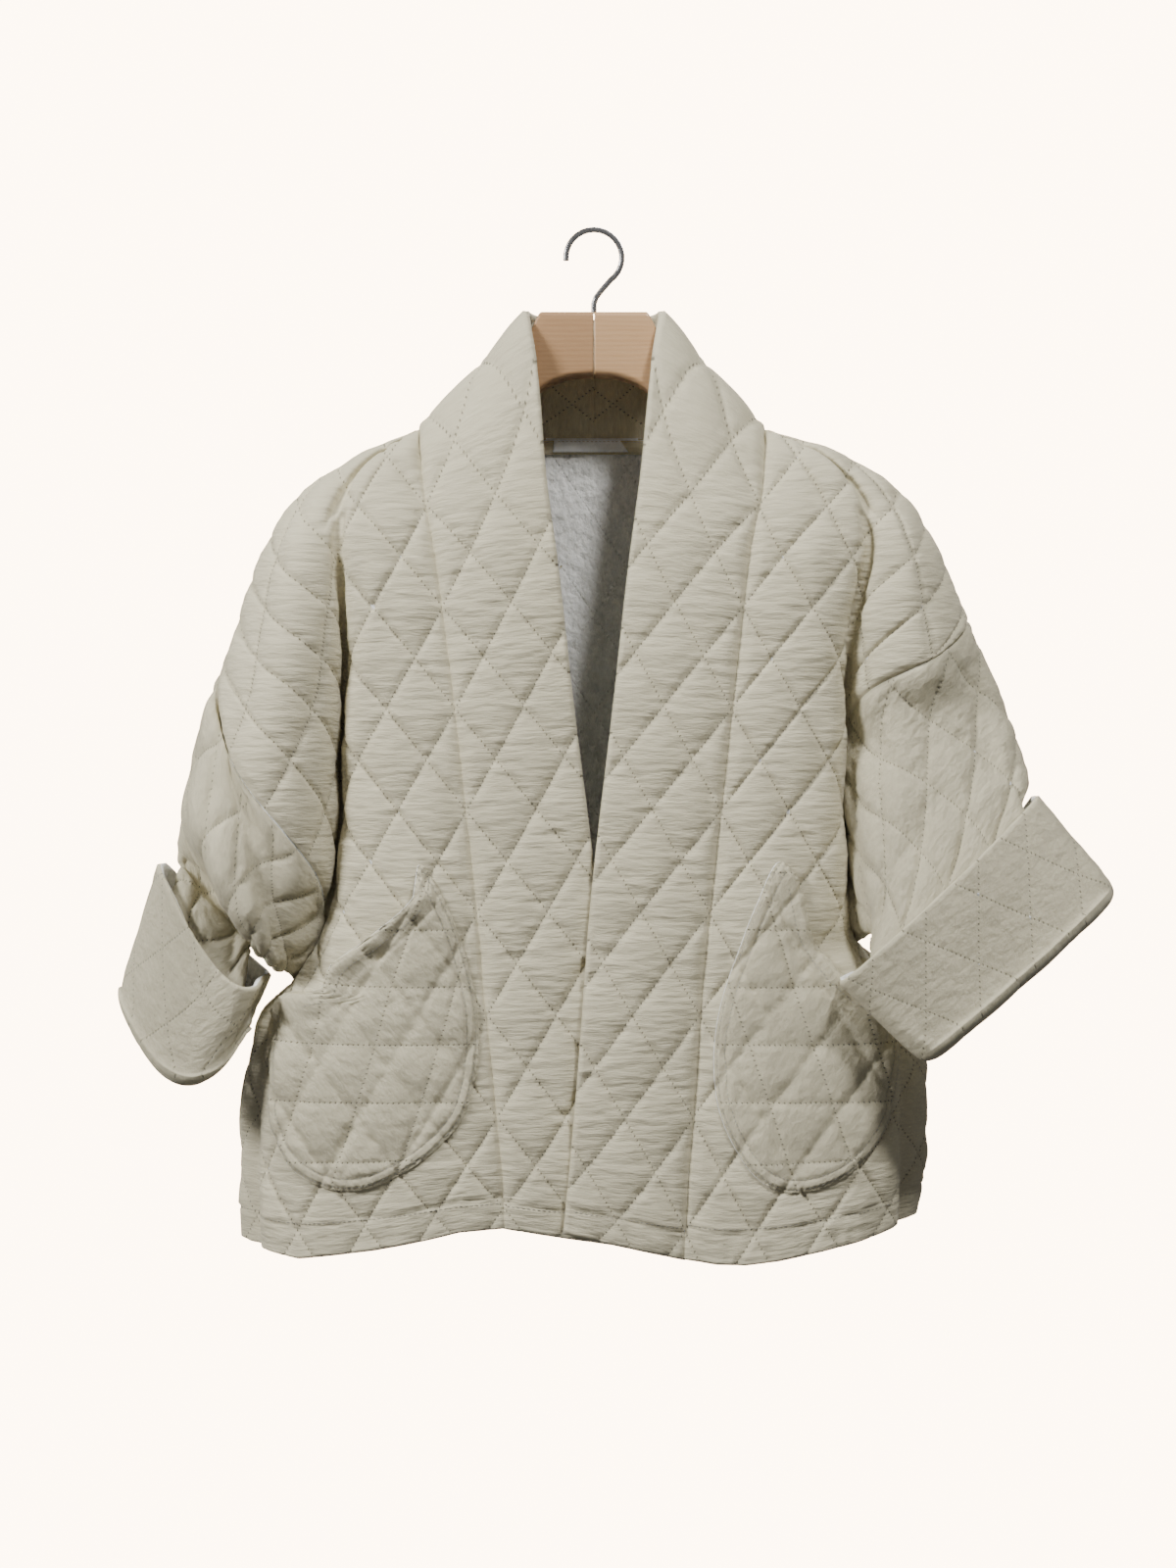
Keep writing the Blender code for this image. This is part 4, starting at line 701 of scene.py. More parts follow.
# outer and inner points of a quilted panel on its form
def quiltedWalls(grid, look, folds=(), rearFolds=()):
    p, n, s, t, sink = (grid[k] for k in ("p", "n", "s", "t", "sink"))
    rooms = edgeRooms(p)
    seams = [rooms[k] for k in look["seams"]]
    room = np.min(seams, axis=0) if seams else np.full(s.shape, 99.0)
    fade = softStep(room / 11)
    along = t if "first" in look["seams"] or "last" in look["seams"] else s
    gather = 0.6 * np.exp(-room / 7) * softNoise(along / 4.2, room / 14, 5)
    lift = look["wall"] * (0.35 + 0.65 * softStep(room / 3.2)) + gather
    lift = lift + fade * quiltRelief(s, t, look) + (1 - fade) * 0.3
    if look.get("hem"):
        edge, strip = rooms[look["hem"][0]], look["hem"][1]
        hemLift = 0.7 - 0.9 * np.exp(-((edge - strip) / 1.4) ** 2)
        hemLift = hemLift + 0.5 * softNoise(s / 5.0, edge / 16, 6)
        share = 1 - softStep((edge - strip) / 2.5)
        lift = lift * (1 - 0.35 * share) + hemLift * (share + np.exp(-((edge - strip) / 1.4) ** 2))
    press = pressFolds(grid, folds, 1) + pressFolds(grid, rearFolds, -1)
    depth = sink * (look["wall"] + look["puff"])
    toU, toV = quiltLines(s, t)
    pillow = (np.sin(np.pi * toU / lineGap) * np.sin(np.pi * toV / lineGap)) ** 0.6
    back = -depth - look["backPuff"] * fade * (pillow + 0.35 * softNoise(s / 12, t / 5, 8))
    outer = p + n * (lift * (1 - 0.8 * sink) - 0.2 * depth + press)[:, :, None]
    inner = p + n * (back + press)[:, :, None]
    return outer, inner


def addNode(tree, kind, settings=None, **inputs):
    node = tree.nodes.new(kind)
    for key, value in (settings or {}).items():
        setattr(node, key, value)
    for key, value in inputs.items():
        socket = node.inputs[int(key[1:])] if key[0] == "i" and key[1:].isdigit() else node.inputs[key]
        if isinstance(value, bpy.types.NodeSocket):
            tree.links.new(value, socket)
        else:
            socket.default_value = value
    return node


def sums(tree, operation, a, b=0.0, c=0.0):
    return addNode(tree, "ShaderNodeMath", {"operation": operation}, i0=a, i1=b, i2=c).outputs[0]


def stretched(tree, vector, scale, turn=0.0):
    return addNode(tree, "ShaderNodeMapping", Vector=vector, Scale=scale,
                   Rotation=(0, 0, turn)).outputs[0]


def noiseAt(tree, vector, scale, turn=0.0, detail=3.0, rough=0.55):
    return addNode(tree, "ShaderNodeTexNoise", Vector=stretched(tree, vector, scale, turn),
                   Scale=1.0, Detail=detail, Roughness=rough).outputs[0]


# dashes of thread down the quilting's lines, from the cloth's own pattern places
def threadLines(tree, place):
    split = addNode(tree, "ShaderNodeSeparateXYZ", Vector=place)
    su = sums(tree, "DIVIDE", split.outputs[0], diamondWide * 0.001)
    tu = sums(tree, "DIVIDE", split.outputs[1], diamondTall * 0.001)
    families = (sums(tree, "ADD", su, tu), sums(tree, "SUBTRACT", su, tu))
    found = []
    for own, other in (families, families[::-1]):
        off = sums(tree, "ABSOLUTE", sums(tree, "SUBTRACT", own, sums(tree, "ROUND", own)))
        line = addNode(tree, "ShaderNodeMapRange", {"interpolation_type": "SMOOTHSTEP"},
                       i0=off, i1=0.008, i2=0.022, i3=1.0, i4=0.0).outputs[0]
        dash = sums(tree, "LESS_THAN", sums(tree, "FRACT", sums(tree, "MULTIPLY", other, 12.0)), 0.72)
        found.append((line, sums(tree, "MULTIPLY", line, dash)))
    lines = sums(tree, "MAXIMUM", found[0][0], found[1][0])
    return lines, sums(tree, "MAXIMUM", found[0][1], found[1][1])


def clothFinish(name, look):
    made = bpy.data.materials.new(name)
    made.use_nodes = True
    tree = made.node_tree
    shader = tree.nodes["Principled BSDF"]
    shader.inputs["Roughness"].default_value = look["rough"]
    shader.inputs["Sheen Weight"].default_value = look["sheen"]
    shader.inputs["Sheen Roughness"].default_value = 0.5
    shader.inputs["Specular IOR Level"].default_value = look["specular"]
    place = addNode(tree, "ShaderNodeUVMap").outputs[0]
    slub = noiseAt(tree, place, look["slub"], look["turn"], 4.0, 0.65)
    cloud = noiseAt(tree, place, (16, 16, 1), 0.4, 3.0)
    weave = noiseAt(tree, place, look["weave"], look["turn"], 2.0, 0.7)
    crease = noiseAt(tree, place, look["crease"], look["creaseTurn"], 3.0, 0.5)
    tint = addNode(tree, "ShaderNodeMix", {"data_type": "RGBA"}, Factor=slub)
    tint.inputs[6].default_value = (*look["dark"], 1)
    tint.inputs[7].default_value = (*look["light"], 1)
    worn = addNode(tree, "ShaderNodeMix", {"data_type": "RGBA", "blend_type": "MULTIPLY"},
                   Factor=0.5)
    tree.links.new(tint.outputs[2], worn.inputs[6])
    shade = addNode(tree, "ShaderNodeMapRange", i0=cloud, i1=0.3, i2=0.7, i3=0.86, i4=1.08)
    tree.links.new(shade.outputs[0], worn.inputs[7])
    colour = worn.outputs[2]
    relief = sums(tree, "MULTIPLY", crease, look["creaseHeight"])
    relief = sums(tree, "ADD", relief, sums(tree, "MULTIPLY", slub, 0.00022))
    relief = sums(tree, "ADD", relief, sums(tree, "MULTIPLY", weave, look["weaveHeight"]))
    if look.get("twill"):
        twill = addNode(tree, "ShaderNodeTexWave", {"bands_direction": "X"},
                        Vector=stretched(tree, place, (look["twill"],) * 3, look["twillTurn"]),
                        Scale=1.0, Distortion=2.5, Detail=2.0).outputs[1]
        relief = sums(tree, "ADD", relief, sums(tree, "MULTIPLY", twill, look["twillHeight"]))
    if look["threadAndGrooveShade"]:
        lines, dashes = threadLines(tree, place)
        relief = sums(tree, "ADD", relief, sums(tree, "MULTIPLY", lines, -0.0007))
        relief = sums(tree, "ADD", relief, sums(tree, "MULTIPLY", dashes, 0.0006))
        # painted shade: along the quilting lines, between the thread dashes, the base colour is mixed
        # towards a darker tone that stands in for the shade inside the stitched grooves; the look's
        # strength value sets how dark, and also switches the stitch relief on
        grooveShadeMask = sums(tree, "MULTIPLY", sums(tree, "SUBTRACT", lines, dashes), look["threadAndGrooveShade"])
        grooveShaded = addNode(tree, "ShaderNodeMix", {"data_type": "RGBA"}, Factor=grooveShadeMask)
        tree.links.new(colour, grooveShaded.inputs[6])
        grooveShaded.inputs[7].default_value = tuple(0.45 * c for c in look["dark"]) + (1,)
        colour = grooveShaded.outputs[2]
    bump = addNode(tree, "ShaderNodeBump", Height=relief, Strength=1.0, Distance=1.0)
    tree.links.new(colour, shader.inputs["Base Color"])
    tree.links.new(bump.outputs[0], shader.inputs["Normal"])
    return made


print("finishes")
cottonLook = {"light": (0.68, 0.635, 0.475), "dark": (0.52, 0.48, 0.345), "rough": 0.92, "sheen": 0.12,
              "specular": 0.2, "slub": (70, 900, 1), "weave": (1500, 1700, 1), "turn": 0.0,
              "crease": (46, 200, 1), "creaseTurn": 0.05, "creaseHeight": 0.0021,
              "weaveHeight": 0.00025, "threadAndGrooveShade": 0.85}
twillLook = {**cottonLook, "light": (0.68, 0.635, 0.47), "slub": (300, 300, 1),
             "crease": (120, 150, 1), "creaseHeight": 0.0024, "twill": 620, "twillTurn": 0.6,
             "twillHeight": 0.00016}
gauzeLook = {**cottonLook, "light": (0.88, 0.885, 0.865), "dark": (0.78, 0.785, 0.765),
             "slub": (240, 420, 1), "crease": (190, 130, 1), "creaseHeight": 0.0026,
             "creaseTurn": 0.3, "threadAndGrooveShade": 0.25}
cotton = clothFinish("quiltedCotton", cottonLook)
twill = clothFinish("quiltedTwill", twillLook)
gauze = clothFinish("liningGauze", gauzeLook)
tapeCotton = clothFinish("tapeCotton", {**cottonLook, "threadAndGrooveShade": 0, "creaseHeight": 0.0006})
satin = clothFinish("labelSatin", {**cottonLook, "light": (0.90, 0.91, 0.91),
                                   "dark": (0.84, 0.85, 0.85), "rough": 0.35, "sheen": 0.0,
                                   "specular": 0.6, "slub": (900, 60, 1), "creaseHeight": 0.0003,
                                   "threadAndGrooveShade": 0})
threadFinish = clothFinish("sewingThread", {**cottonLook, "light": (0.62, 0.60, 0.53),
                                            "dark": (0.5, 0.48, 0.42), "threadAndGrooveShade": 0})


def beechFinish(name, light, dark, turn):
    made = bpy.data.materials.new(name)
    made.use_nodes = True
    tree = made.node_tree
    shader = tree.nodes["Principled BSDF"]
    shader.inputs["Roughness"].default_value = 0.42
    shader.inputs["Coat Weight"].default_value = 0.15
    place = addNode(tree, "ShaderNodeTexCoord").outputs["Object"]
    grain = noiseAt(tree, place, (9, 120, 150), turn, 5.0, 0.6)
    fleck = noiseAt(tree, place, (90, 900, 1100), turn, 2.0, 0.6)
    rings = addNode(tree, "ShaderNodeTexWave", {"bands_direction": "Z"},
                    Vector=stretched(tree, place, (10, 60, 90), turn), Scale=1.0,
                    Distortion=6.0, Detail=3.0).outputs[1]
    share = sums(tree, "ADD", sums(tree, "MULTIPLY", grain, 0.7), sums(tree, "MULTIPLY", rings, 0.3))
    share = sums(tree, "ADD", share, sums(tree, "MULTIPLY", sums(tree, "SUBTRACT", fleck, 0.5), 0.6))
    tint = addNode(tree, "ShaderNodeMix", {"data_type": "RGBA"}, Factor=share)
    tint.inputs[6].default_value = (*light, 1)
    tint.inputs[7].default_value = (*dark, 1)
    tree.links.new(tint.outputs[2], shader.inputs["Base Color"])
    bump = addNode(tree, "ShaderNodeBump", Height=share, Strength=0.3, Distance=0.0003)
    tree.links.new(bump.outputs[0], shader.inputs["Normal"])
    return made


def steelFinish():
    made = bpy.data.materials.new("hookSteel")
    made.use_nodes = True
    tree = made.node_tree
    shader = tree.nodes["Principled BSDF"]
    shader.inputs["Base Color"].default_value = (0.66, 0.66, 0.67, 1)
    shader.inputs["Metallic"].default_value = 1.0
    place = addNode(tree, "ShaderNodeTexCoord").outputs["Object"]
    scuff = noiseAt(tree, place, (900, 900, 300), 0.0, 3.0)
    rough = addNode(tree, "ShaderNodeMapRange", i0=scuff, i1=0.2, i2=0.8, i3=0.16, i4=0.32)
    tree.links.new(rough.outputs[0], shader.inputs["Roughness"])
    return made


# cloth area and the flat size of a grid, in metres
def flatCut(grid):
    p = grid["p"] * 0.001
    rooms = edgeRooms(p)
    wide = float(np.max(rooms["first"][:, -1]))
    long = float(np.max(rooms["top"][-1]))
    a, b = p[1:, 1:] - p[:-1, :-1], p[1:, :-1] - p[:-1, 1:]
    area = float(np.linalg.norm(np.cross(a, b), axis=2).sum() / 2)
    area = min(area, wide * long)


def dress(piece, grid, node):
    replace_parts(piece, node)
    flatCut(grid)


# small thread beads along a line on the cloth
def stitchRun(work, outer, n, rows, cols, pitch=3.6, size=(1.3, 0.26, 0.26)):
    grid = {"o": outer, "n": n}
    line = readGrid(grid, "o", rows, cols)
    faces = readGrid(grid, "n", rows, cols)
    along = lengths(line)
    for at in np.arange(pitch, along[-1] - pitch, pitch):
        here = readLine(line, along, np.array([at]))[0]
        step = readLine(line, along, np.array([at + 0.6]))[0] - here
        up = readLine(faces, along, np.array([at]))[0]
        x = Vector(step).normalized()
        z = (Vector(up) - x * Vector(up).dot(x)).normalized()
        y = z.cross(x)
        place = Matrix([[x[k] * size[0] * 0.001, y[k] * size[1] * 0.001, z[k] * size[2] * 0.001,
                         here[k] * 0.001 + z[k] * 0.0001] for k in range(3)] + [[0, 0, 0, 1]])
        bmesh.ops.create_uvsphere(work, u_segments=6, v_segments=4, radius=1.0, matrix=place)


def finishStitches(name, work):
    mesh = bpy.data.meshes.new(name)
    for face in work.faces:
        face.smooth = True
    work.to_mesh(mesh)
    work.free()
    mesh.materials.append(threadFinish)
    thing = newObject(name, mesh)
    mesh.uv_layers.new(name="cloth")
    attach(thing, "root")
    return thing


print("body")
dropsAll = np.append(np.arange(neckDrop, hemDrop, rowStep), hemDrop)
threadWork = bmesh.new()
bodyLook = {"wall": wall, "puff": puff + 0.6, "groove": 1.4, "wrinkle": 1.0, "crinkle": (22, 5.2),
            "backPuff": 0.9, "strong": "u", "seams": ("first", "last", "top"),
            "hem": ("bottom", 21.0)}
# x, drop, x, drop, width, height
leftFolds = ((150, 180, 172, 300, 9, 2.2), (163, 300, 172, 430, 7, 1.8), (120, 240, 140, 420, 12, -1.2),
             (95, 470, 60, 560, 16, -1.0), (196, 520, 206, 640, 8, 1.6), (40, 600, 160, 640, 14, 0.9))
rightFolds = ((-150, 190, -168, 310, 9, 2.2), (-166, 300, -176, 440, 7, 1.8),
              (-118, 230, -136, 400, 12, -1.2), (-95, 470, -60, 560, 16, -1.0),
              (-214, 520, -226, 640, 8, 1.6), (-60, 610, -170, 600, 14, 0.9))
rearFolds = ((120, 200, 150, 420, 14, -1.6), (-120, 210, -150, 430, 14, -1.6), (20, 330, -10, 620, 22, 1.3),
             (150, 470, 130, 640, 16, 1.2), (-150, 480, -140, 640, 16, 1.2), (60, 110, -60, 118, 10, 0.8))
fronts, frontWalls = {}, {}
for side, folds in (("left", leftFolds), ("right", rightFolds)):
    grid = bodyGrid("front", side, dropsAll, 121)
    look = {**bodyLook, "strong": "u" if side == "left" else "v"}
    outer, inner = quiltedWalls(grid, look, folds)
    name = "frontPanel" + side.capitalize()
    piece = closedCloth(name, outer, inner, grid["s"], grid["t"], (cotton, gauze))
    dress(piece, grid, "front_" + side)
    fronts[side], frontWalls[side] = grid, outer
    hemRow = len(dropsAll) - 1 - 21.0 / rowStep
    stitchRun(threadWork, outer, grid["n"], np.full(121, hemRow), np.arange(121.0))
backDrops = np.append(np.arange(neckDrop, hemDrop, 2.6), hemDrop)
backGrid = bodyGrid("rear", "", backDrops, 195)
backOuter, backInner = quiltedWalls(backGrid, bodyLook, (), rearFolds)
piece = closedCloth("backPanel", backOuter, backInner, backGrid["s"], backGrid["t"], (cotton, gauze))
dress(piece, backGrid, "back")
stitchRun(threadWork, backOuter, backGrid["n"], np.full(195, len(backDrops) - 1 - 21.0 / 2.6),
          np.arange(195.0))

print("bands")
bandLook = {**bodyLook, "wall": bandWall, "seams": ("first",), "hem": ("top", 18.0), "wrinkle": 1.1}
for side in ("left", "right"):
    grid = bandGrid(side, 37)
    look = {**bandLook, "strong": "u" if side == "left" else "v"}
    outer, inner = quiltedWalls(grid, look)
    piece = closedCloth("collarBand" + side.capitalize(), outer, inner, grid["s"], grid["t"],
                        (cotton, cotton), rim=1.6)
    dress(piece, grid, "band_" + side)
    stitchRun(threadWork, outer, grid["n"], np.full(37, 18.0 / rowStep), np.arange(37.0))

print("sleeves")
sleeveLook = {"wall": wall, "puff": puff + 0.8, "groove": 1.6, "wrinkle": 1.3, "crinkle": (10, 8),
              "backPuff": 0.7, "strong": "u", "seams": ("top", "first", "last"),
              "hem": ("bottom", 16.0)}
sleeveFolds = {
    "left": ((262, 240, 278, 330, 8, -2.4), (245, 300, 268, 392, 10, 1.8), (205, 330, 215, 440, 9, 1.6),
             (225, 420, 270, 395, 9, -1.2), (268, 350, 292, 300, 7, 1.0)),
    "right": ((-250, 320, -240, 420, 10, 1.4), (-205, 330, -214, 440, 9, 1.6),
              (-262, 340, -272, 410, 8, -1.4), (-222, 430, -262, 418, 8, 1.6)),
}
sleeveRear = {
    "left": ((230, 300, 262, 420, 12, -1.5), (255, 280, 285, 350, 10, 1.2)),
    "right": ((-230, 320, -258, 420, 12, -1.5), (-250, 290, -275, 370, 10, 1.2)),
}
for side in ("left", "right"):
    grid = sleeveGrid(side, 201)
    look = {**sleeveLook, "strong": "u" if side == "left" else "v"}
    outer, inner = quiltedWalls(grid, look, sleeveFolds[side], sleeveRear[side])
    for face in (outer, inner):  # both sides of the underarm seam are one line
        face[:, 0] = face[:, -1] = (face[:, 0] + face[:, -1]) / 2
    foldAt = grid["foldRow"] + 2 * ringSpan
    piece = closedCloth("sleeve" + side.capitalize(), outer, inner, grid["s"], grid["t"],
                        (twill, gauze), loop=True, lining=foldAt)
    dress(piece, grid, "sleeve_" + side)
    rows = grid["p"].shape[0]
    toEdge = edgeRooms(grid["p"])["bottom"]
    edgeRows = np.array([np.interp(-16.0, -toEdge[:, c], np.arange(rows)) for c in range(201)])
    stitchRun(threadWork, outer, grid["n"], edgeRows, np.arange(201.0))

print("pockets")


# evenly read closed outline through a pocket's points
def pocketOutline(points, count=400):
    points = np.array(list(points) + list(points[:2]), float)
    line, marks = smoothLine(points, 12)
    line = line[marks[1]:marks[len(points) - 1] + 1]
    along = lengths(line)
    return readLine(line, along, np.linspace(0, along[-1], count, endpoint=False))


def pocketSpans(loop, t):
    a, b = loop, np.roll(loop, -1, axis=0)
    low, high = [], []
    for height in t:
        hit = (a[:, 1] - height) * (b[:, 1] - height) <= 0
        share = (height - a[hit, 1]) / (b[hit, 1] - a[hit, 1] + 1e-9)
        xs = a[hit, 0] + np.clip(share, 0, 1) * (b[hit, 0] - a[hit, 0])
        low.append(xs.min())
        high.append(xs.max())
    return np.array(low), np.array(high)


pocketLook = {"rows": 120, "columns": 80, "thick": 3.1, "puff": 1.7, "mouthHem": 14.0,
              "seamRows": (2.2, 8.0)}
for side, outline in (("left", pocketLeft), ("right", pocketRight)):
    sign = 1 if side == "left" else -1
    loop = pocketOutline(outline)
    top, bottom = loop[:, 1].min() + 0.3, loop[:, 1].max() - 0.3
    u = (1 - np.cos(np.pi * np.linspace(0.06, 0.94, pocketLook["rows"]))) / 2
    u = (u - u[0]) / (u[-1] - u[0])
    levels = top + u * (bottom - top)
    low, high = pocketSpans(loop, levels)
    w = (1 - np.cos(np.pi * np.linspace(0, 1, pocketLook["columns"]))) / 2
    s = low[:, None] + (high - low)[:, None] * w[None, :]
    t = np.repeat(levels[:, None], len(w), axis=1)
    if sign < 0:
        s = -s[:, ::-1]
    grid = fronts[side]
    rows, cols = grid["s"].shape
    atRow = np.interp(t, grid["t"][:, 0], np.arange(rows))
    atCol = np.zeros(s.shape)
    for k in range(len(levels)):
        line = readGrid(grid, "s", np.full(cols, atRow[k, 0]), np.arange(cols))
        atCol[k] = np.interp(s[k], line, np.arange(cols))
    under = {"o": frontWalls[side], "n": grid["n"]}
    base = readGrid(under, "o", atRow.ravel(), atCol.ravel()).reshape(*s.shape, 3)
    n = readGrid(under, "n", atRow.ravel(), atCol.ravel()).reshape(*s.shape, 3)
    flatLoop = loop * (sign, 1)
    spots = np.column_stack([s.ravel(), t.ravel()])
    gapTo = np.min(np.linalg.norm(spots[:, None] - flatLoop[None, ::3], axis=2), axis=1)
    gapTo = gapTo.reshape(s.shape)
    mouthLine = smoothLine(np.array(outline[1:6], float), 24)[0] * (sign, 1)
    gapMouth = np.min(np.linalg.norm(spots[:, None] - mouthLine[None], axis=2), axis=1)
    gapMouth = gapMouth.reshape(s.shape)
    turn = math.atan2(diamondTall, diamondWide) * sign
    ps = s * math.cos(turn) - t * math.sin(turn)
    pt = s * math.sin(turn) + t * math.cos(turn)
    look = {**bodyLook, "puff": pocketLook["puff"], "groove": 0.8, "crinkle": (9, 7),
            "strong": "u" if side == "left" else "v"}
    roll = np.sqrt(softStep(gapTo / 3.5))
    body = softStep((gapTo - 6) / 8) * softStep((gapMouth - 10) / 8)
    lift = pocketLook["thick"] * roll + body * quiltRelief(ps, pt, look)
    for seam in pocketLook["seamRows"]:
        lift = lift - 0.8 * np.exp(-((gapTo - seam) / 0.9) ** 2) * softStep((gapMouth - 8) / 6)
    lift = lift - 0.9 * np.exp(-((gapMouth - pocketLook["mouthHem"]) / 1.2) ** 2)
    lift = lift + 0.5 * np.exp(-gapTo / 9) * softNoise((s + t) / 4.0, (s - t) / 9.0, 9)
    gape = (3.5 if side == "left" else 8.0) * np.exp(-(gapMouth / 11) ** 2)
    smooth = base + n * 0.25
    outer = smooth + n * (np.maximum(lift, 0.4) + gape)[:, :, None]
    inner = smooth + n * gape[:, :, None]
    piece = closedCloth("patchPocket" + side.capitalize(), outer, inner, ps, pt, (twill, gauze),
                        rim=0.5)
    dress(piece, {"p": base}, "pocket_" + side)
    for inset in pocketLook["seamRows"]:
        centre = loop.mean(axis=0)
        ring = np.vstack([loop, loop[:1]])
        step = np.gradient(ring, axis=0)
        inwards = np.column_stack([-step[:, 1], step[:, 0]])
        inwards /= np.linalg.norm(inwards, axis=1, keepdims=True) + 1e-9
        if np.sum((centre - ring) * inwards) < 0:
            inwards = -inwards
        ring = (ring + inwards * inset) * (sign, 1)
        nearMouth = np.min(np.linalg.norm(ring[:, None] - mouthLine[None], axis=2), axis=1) < 6
        flat = outer.reshape(-1, 3)
        keep = []
        for k, q in enumerate(ring):
            if nearMouth[k]:
                continue
            keep.append(int(np.argmin(np.sum((spots - q) ** 2, axis=1))))
        rowsAt, colsAt = np.array(keep) // len(w), np.array(keep) % len(w)
        turnAt = int(np.argmax(np.linalg.norm(np.diff(flat[keep], axis=0), axis=1)))
        for part in (slice(0, turnAt + 1), slice(turnAt + 1, None)):
            if len(rowsAt[part]) > 3:
                smoothRows = np.convolve(rowsAt[part], np.ones(5) / 5, "valid")
                smoothCols = np.convolve(colsAt[part], np.ones(5) / 5, "valid")
                stitchRun(threadWork, outer, n, smoothRows, smoothCols, 3.2)

print("neck")
for name, node, (left, right, top, bottom), base, thick, finish in (
        ("neckTape", "neck_tape", (-40.0, 40.0, 86.5, 96.0), 1.5, 0.8, tapeCotton),
        ("neckLabel", "neck_label", (-29.0, 21.0, 86.0, 94.5), 2.6, 0.9, satin)):
    rows, cols = backGrid["s"].shape
    r = np.interp(np.linspace(top, bottom, 16), backDrops, np.arange(rows))
    ends = [np.interp(-x, backGrid["s"][2], np.arange(cols)) for x in (left, right)]
    c = np.linspace(ends[1], ends[0], 80)
    rr, cc = np.meshgrid(r, c, indexing="ij")
    p = readGrid(backGrid, "p", rr.ravel(), cc.ravel()).reshape(*rr.shape, 3)
    n = readGrid(backGrid, "n", rr.ravel(), cc.ravel()).reshape(*rr.shape, 3)
    s = readGrid(backGrid, "s", rr.ravel(), cc.ravel()).reshape(rr.shape)
    t = readGrid(backGrid, "t", rr.ravel(), cc.ravel()).reshape(rr.shape)
    wave = 0.35 * softNoise(s / 9, t / 6, 4) + 0.25 * np.sin(np.pi * (t - top) / (bottom - top))
    inner = p - n * base
    outer = p - n * (base + thick + wave)[:, :, None]
    piece = closedCloth(name, outer, inner[:, :], s, t, (finish, finish), rim=0.3)
    dress(piece, {"p": p}, node)
    for row in ((2.0,) if name == "neckLabel" else (1.5, 13.5)):
        stitchRun(threadWork, outer, -n, np.full(80, row), np.arange(80.0), 3.0, (1.1, 0.2, 0.2))
finishStitches("topStitching", threadWork)

print("hanger")
armLook = {"round": 4.0, "rows": 150, "around": 33}


# one beech half: rounded sections lofted along a smooth table
def armHalf(name, sign, finish):
    xs = np.array([row[0] for row in hangerArm], float)
    at = np.interp(np.linspace(0, 1, armLook["rows"]), np.linspace(0, 1, len(xs)), xs)
    tops, bottoms, thicks = (follow(xs, [row[k] for row in hangerArm], at) for k in (1, 2, 3))
    rings = []
    for x, top, bottom, thick in zip(at, tops, bottoms, thicks):
        r = min(armLook["round"], thick / 3)
        ring = []
        for cy, cz, start in ((thick / 2 - r, top + r, 0), (r - thick / 2, top + r, 90),
                              (r - thick / 2, bottom - r, 180), (thick / 2 - r, bottom - r, 270)):
            for a in np.radians(start + np.linspace(0, 90, 8)):
                ring.append((sign * x, cy + r * math.cos(a), blockTop - (cz - r * math.sin(a))))
        rings.append(ring + ring[:1])
    rings = np.array(rings)
    caps = [rings[k].mean(axis=0) for k in (0, -1)]
    points = np.concatenate([np.repeat([[caps[0]]], rings.shape[1], axis=1), rings[:1] * 0.98
                             + np.array([caps[0]]) * 0.02, rings,
                             np.repeat([[caps[1]]], rings.shape[1], axis=1)])
    high, wide = points.shape[:2]
    work = bmesh.new()
    bmesh.ops.create_grid(work, x_segments=wide - 1, y_segments=high - 1, size=0.5)
    for vert, place in zip(work.verts, points.reshape(-1, 3)):
        vert.co = Vector(place) * 0.001
    bmesh.ops.remove_doubles(work, verts=work.verts, dist=0.00002)
    bmesh.ops.dissolve_degenerate(work, edges=work.edges, dist=0.000002)
    if work.calc_volume(signed=True) < 0:
        bmesh.ops.reverse_faces(work, faces=work.faces)
    for face in work.faces:
        face.smooth = True
    mesh = bpy.data.meshes.new(name)
    work.to_mesh(mesh)
    work.free()
    mesh.materials.append(finish)
    piece = newObject(name, mesh)
    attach(piece, "root")
    return piece


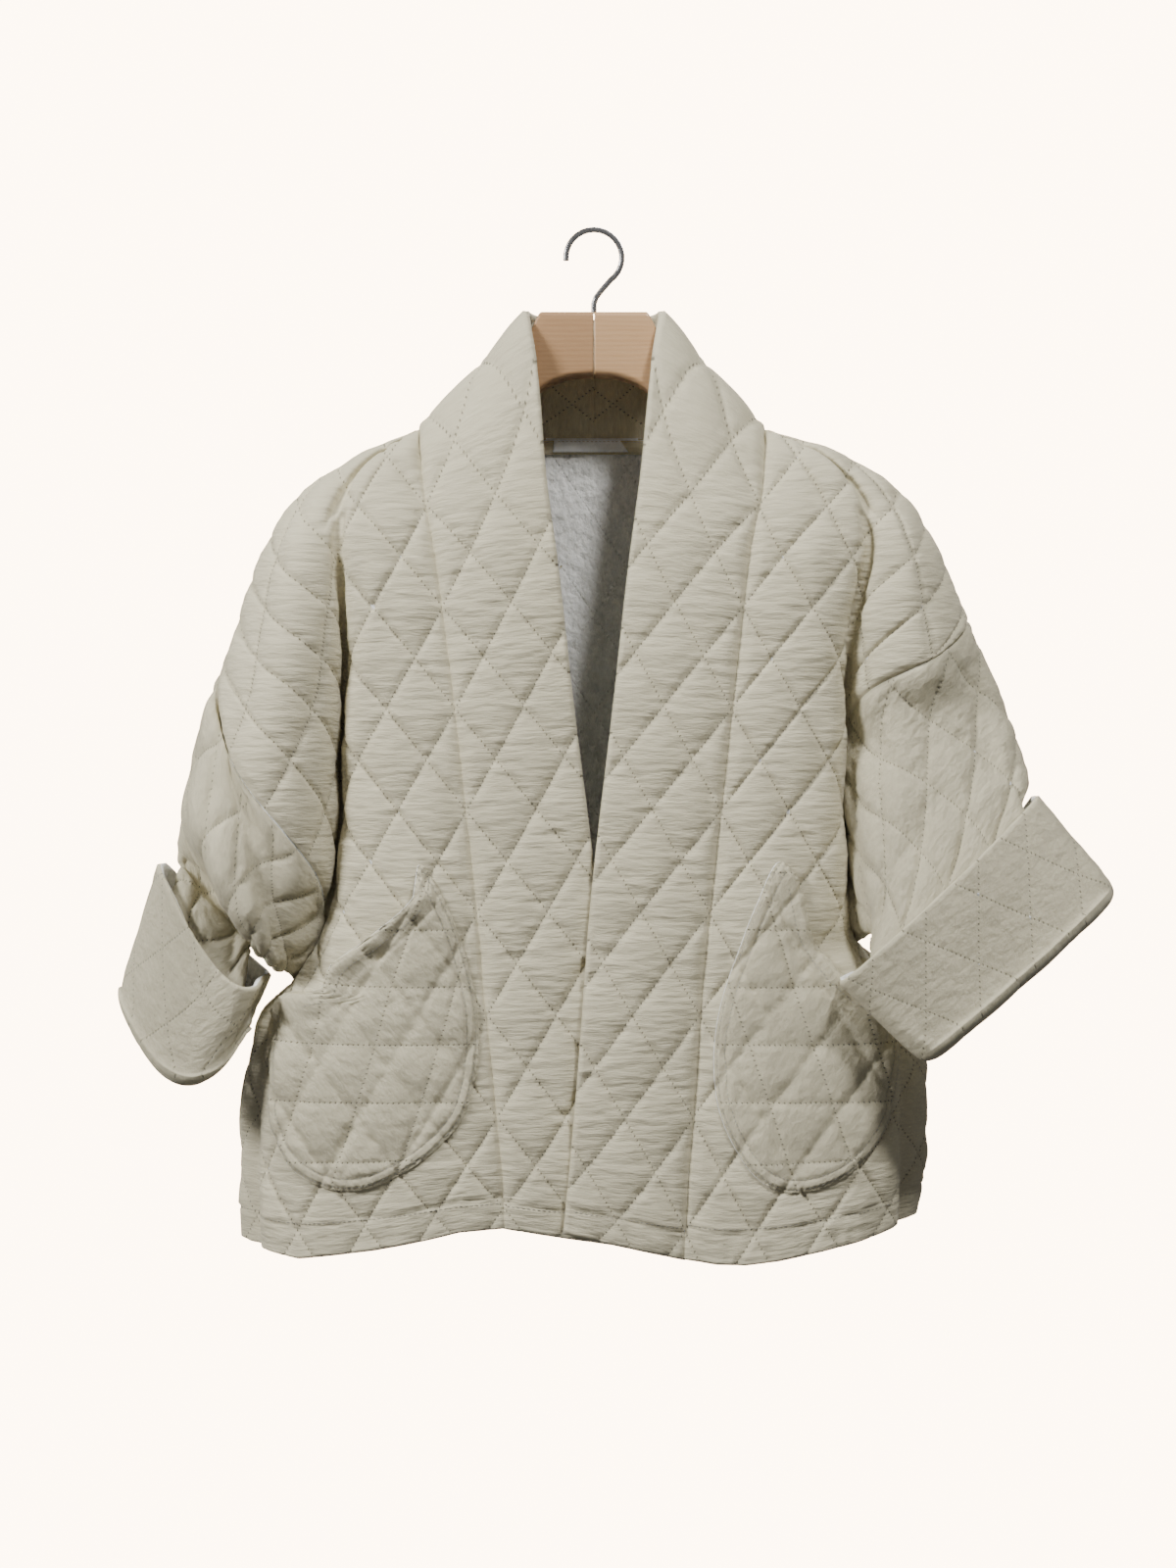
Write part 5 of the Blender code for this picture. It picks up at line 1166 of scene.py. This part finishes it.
leftBeech = beechFinish("beechLight", (0.56, 0.36, 0.20), (0.46, 0.27, 0.13), 0.0)
rightBeech = beechFinish("beechWarm", (0.43, 0.265, 0.14), (0.34, 0.19, 0.09), 0.0)
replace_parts(armHalf("hangerArmLeft", 1, leftBeech), "hanger_arm_left")
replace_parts(armHalf("hangerArmRight", -1, rightBeech), "hanger_arm_right")
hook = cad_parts["hanger_hook"]
hook.data.materials.clear()
hook.data.materials.append(steelFinish())

print("studio")
studio = {"radius": 5.0, "colour": (1.0, 0.77, 0.55), "strength": 13.0}
work = bmesh.new()
bmesh.ops.create_uvsphere(work, u_segments=48, v_segments=24, radius=studio["radius"])
bmesh.ops.reverse_faces(work, faces=work.faces)
mesh = bpy.data.meshes.new("studioShell")
work.to_mesh(mesh)
work.free()
shell = newObject("studioShell", mesh)
paper = bpy.data.materials.new("studioPaper")
paper.use_nodes = True
paper.node_tree.nodes.remove(paper.node_tree.nodes["Principled BSDF"])
glow = addNode(paper.node_tree, "ShaderNodeEmission", Strength=studio["strength"])
glow.inputs["Color"].default_value = (*studio["colour"], 1)
paper.node_tree.links.new(glow.outputs[0], paper.node_tree.nodes["Material Output"].inputs[0])
mesh.materials.append(paper)
shell.visible_diffuse = shell.visible_glossy = shell.visible_shadow = False
shell.visible_transmission = False

middle = Vector((0, 0, -0.39))
for name, place, size, power in (("keyRight", (0.8, -1.35, 1.7), 0.35, 62),
                                 ("keyLeft", (-1.9, -1.25, 0.85), 0.6, 82),
                                 ("backFill", (0.5, 2.4, 1.0), 1.2, 85)):
    lamp = bpy.data.lights.new(name, "AREA")
    lamp.size, lamp.energy = size, power
    lamp.color = (1.0, 0.985, 0.96)
    light = newObject(name, lamp)
    light.location = place
    light.rotation_euler = (middle - Vector(place)).to_track_quat("-Z", "Y").to_euler()
world = bpy.data.worlds.new("softRoom")
world.use_nodes = True
world.node_tree.nodes["Background"].inputs[0].default_value = (1.0, 0.98, 0.95, 1)
world.node_tree.nodes["Background"].inputs[1].default_value = 0.14
bpy.context.scene.world = world

camera = bpy.data.cameras.new("photoCamera")
camera.lens, camera.sensor_width = 54.64, 36.0
camera.clip_start, camera.clip_end = 0.05, 20
eye = newObject("photoCamera", camera)
eye.location = (-0.0042, -1.70, -0.394)
eye.rotation_euler = (math.radians(90), 0, 0)
bpy.context.scene.camera = eye
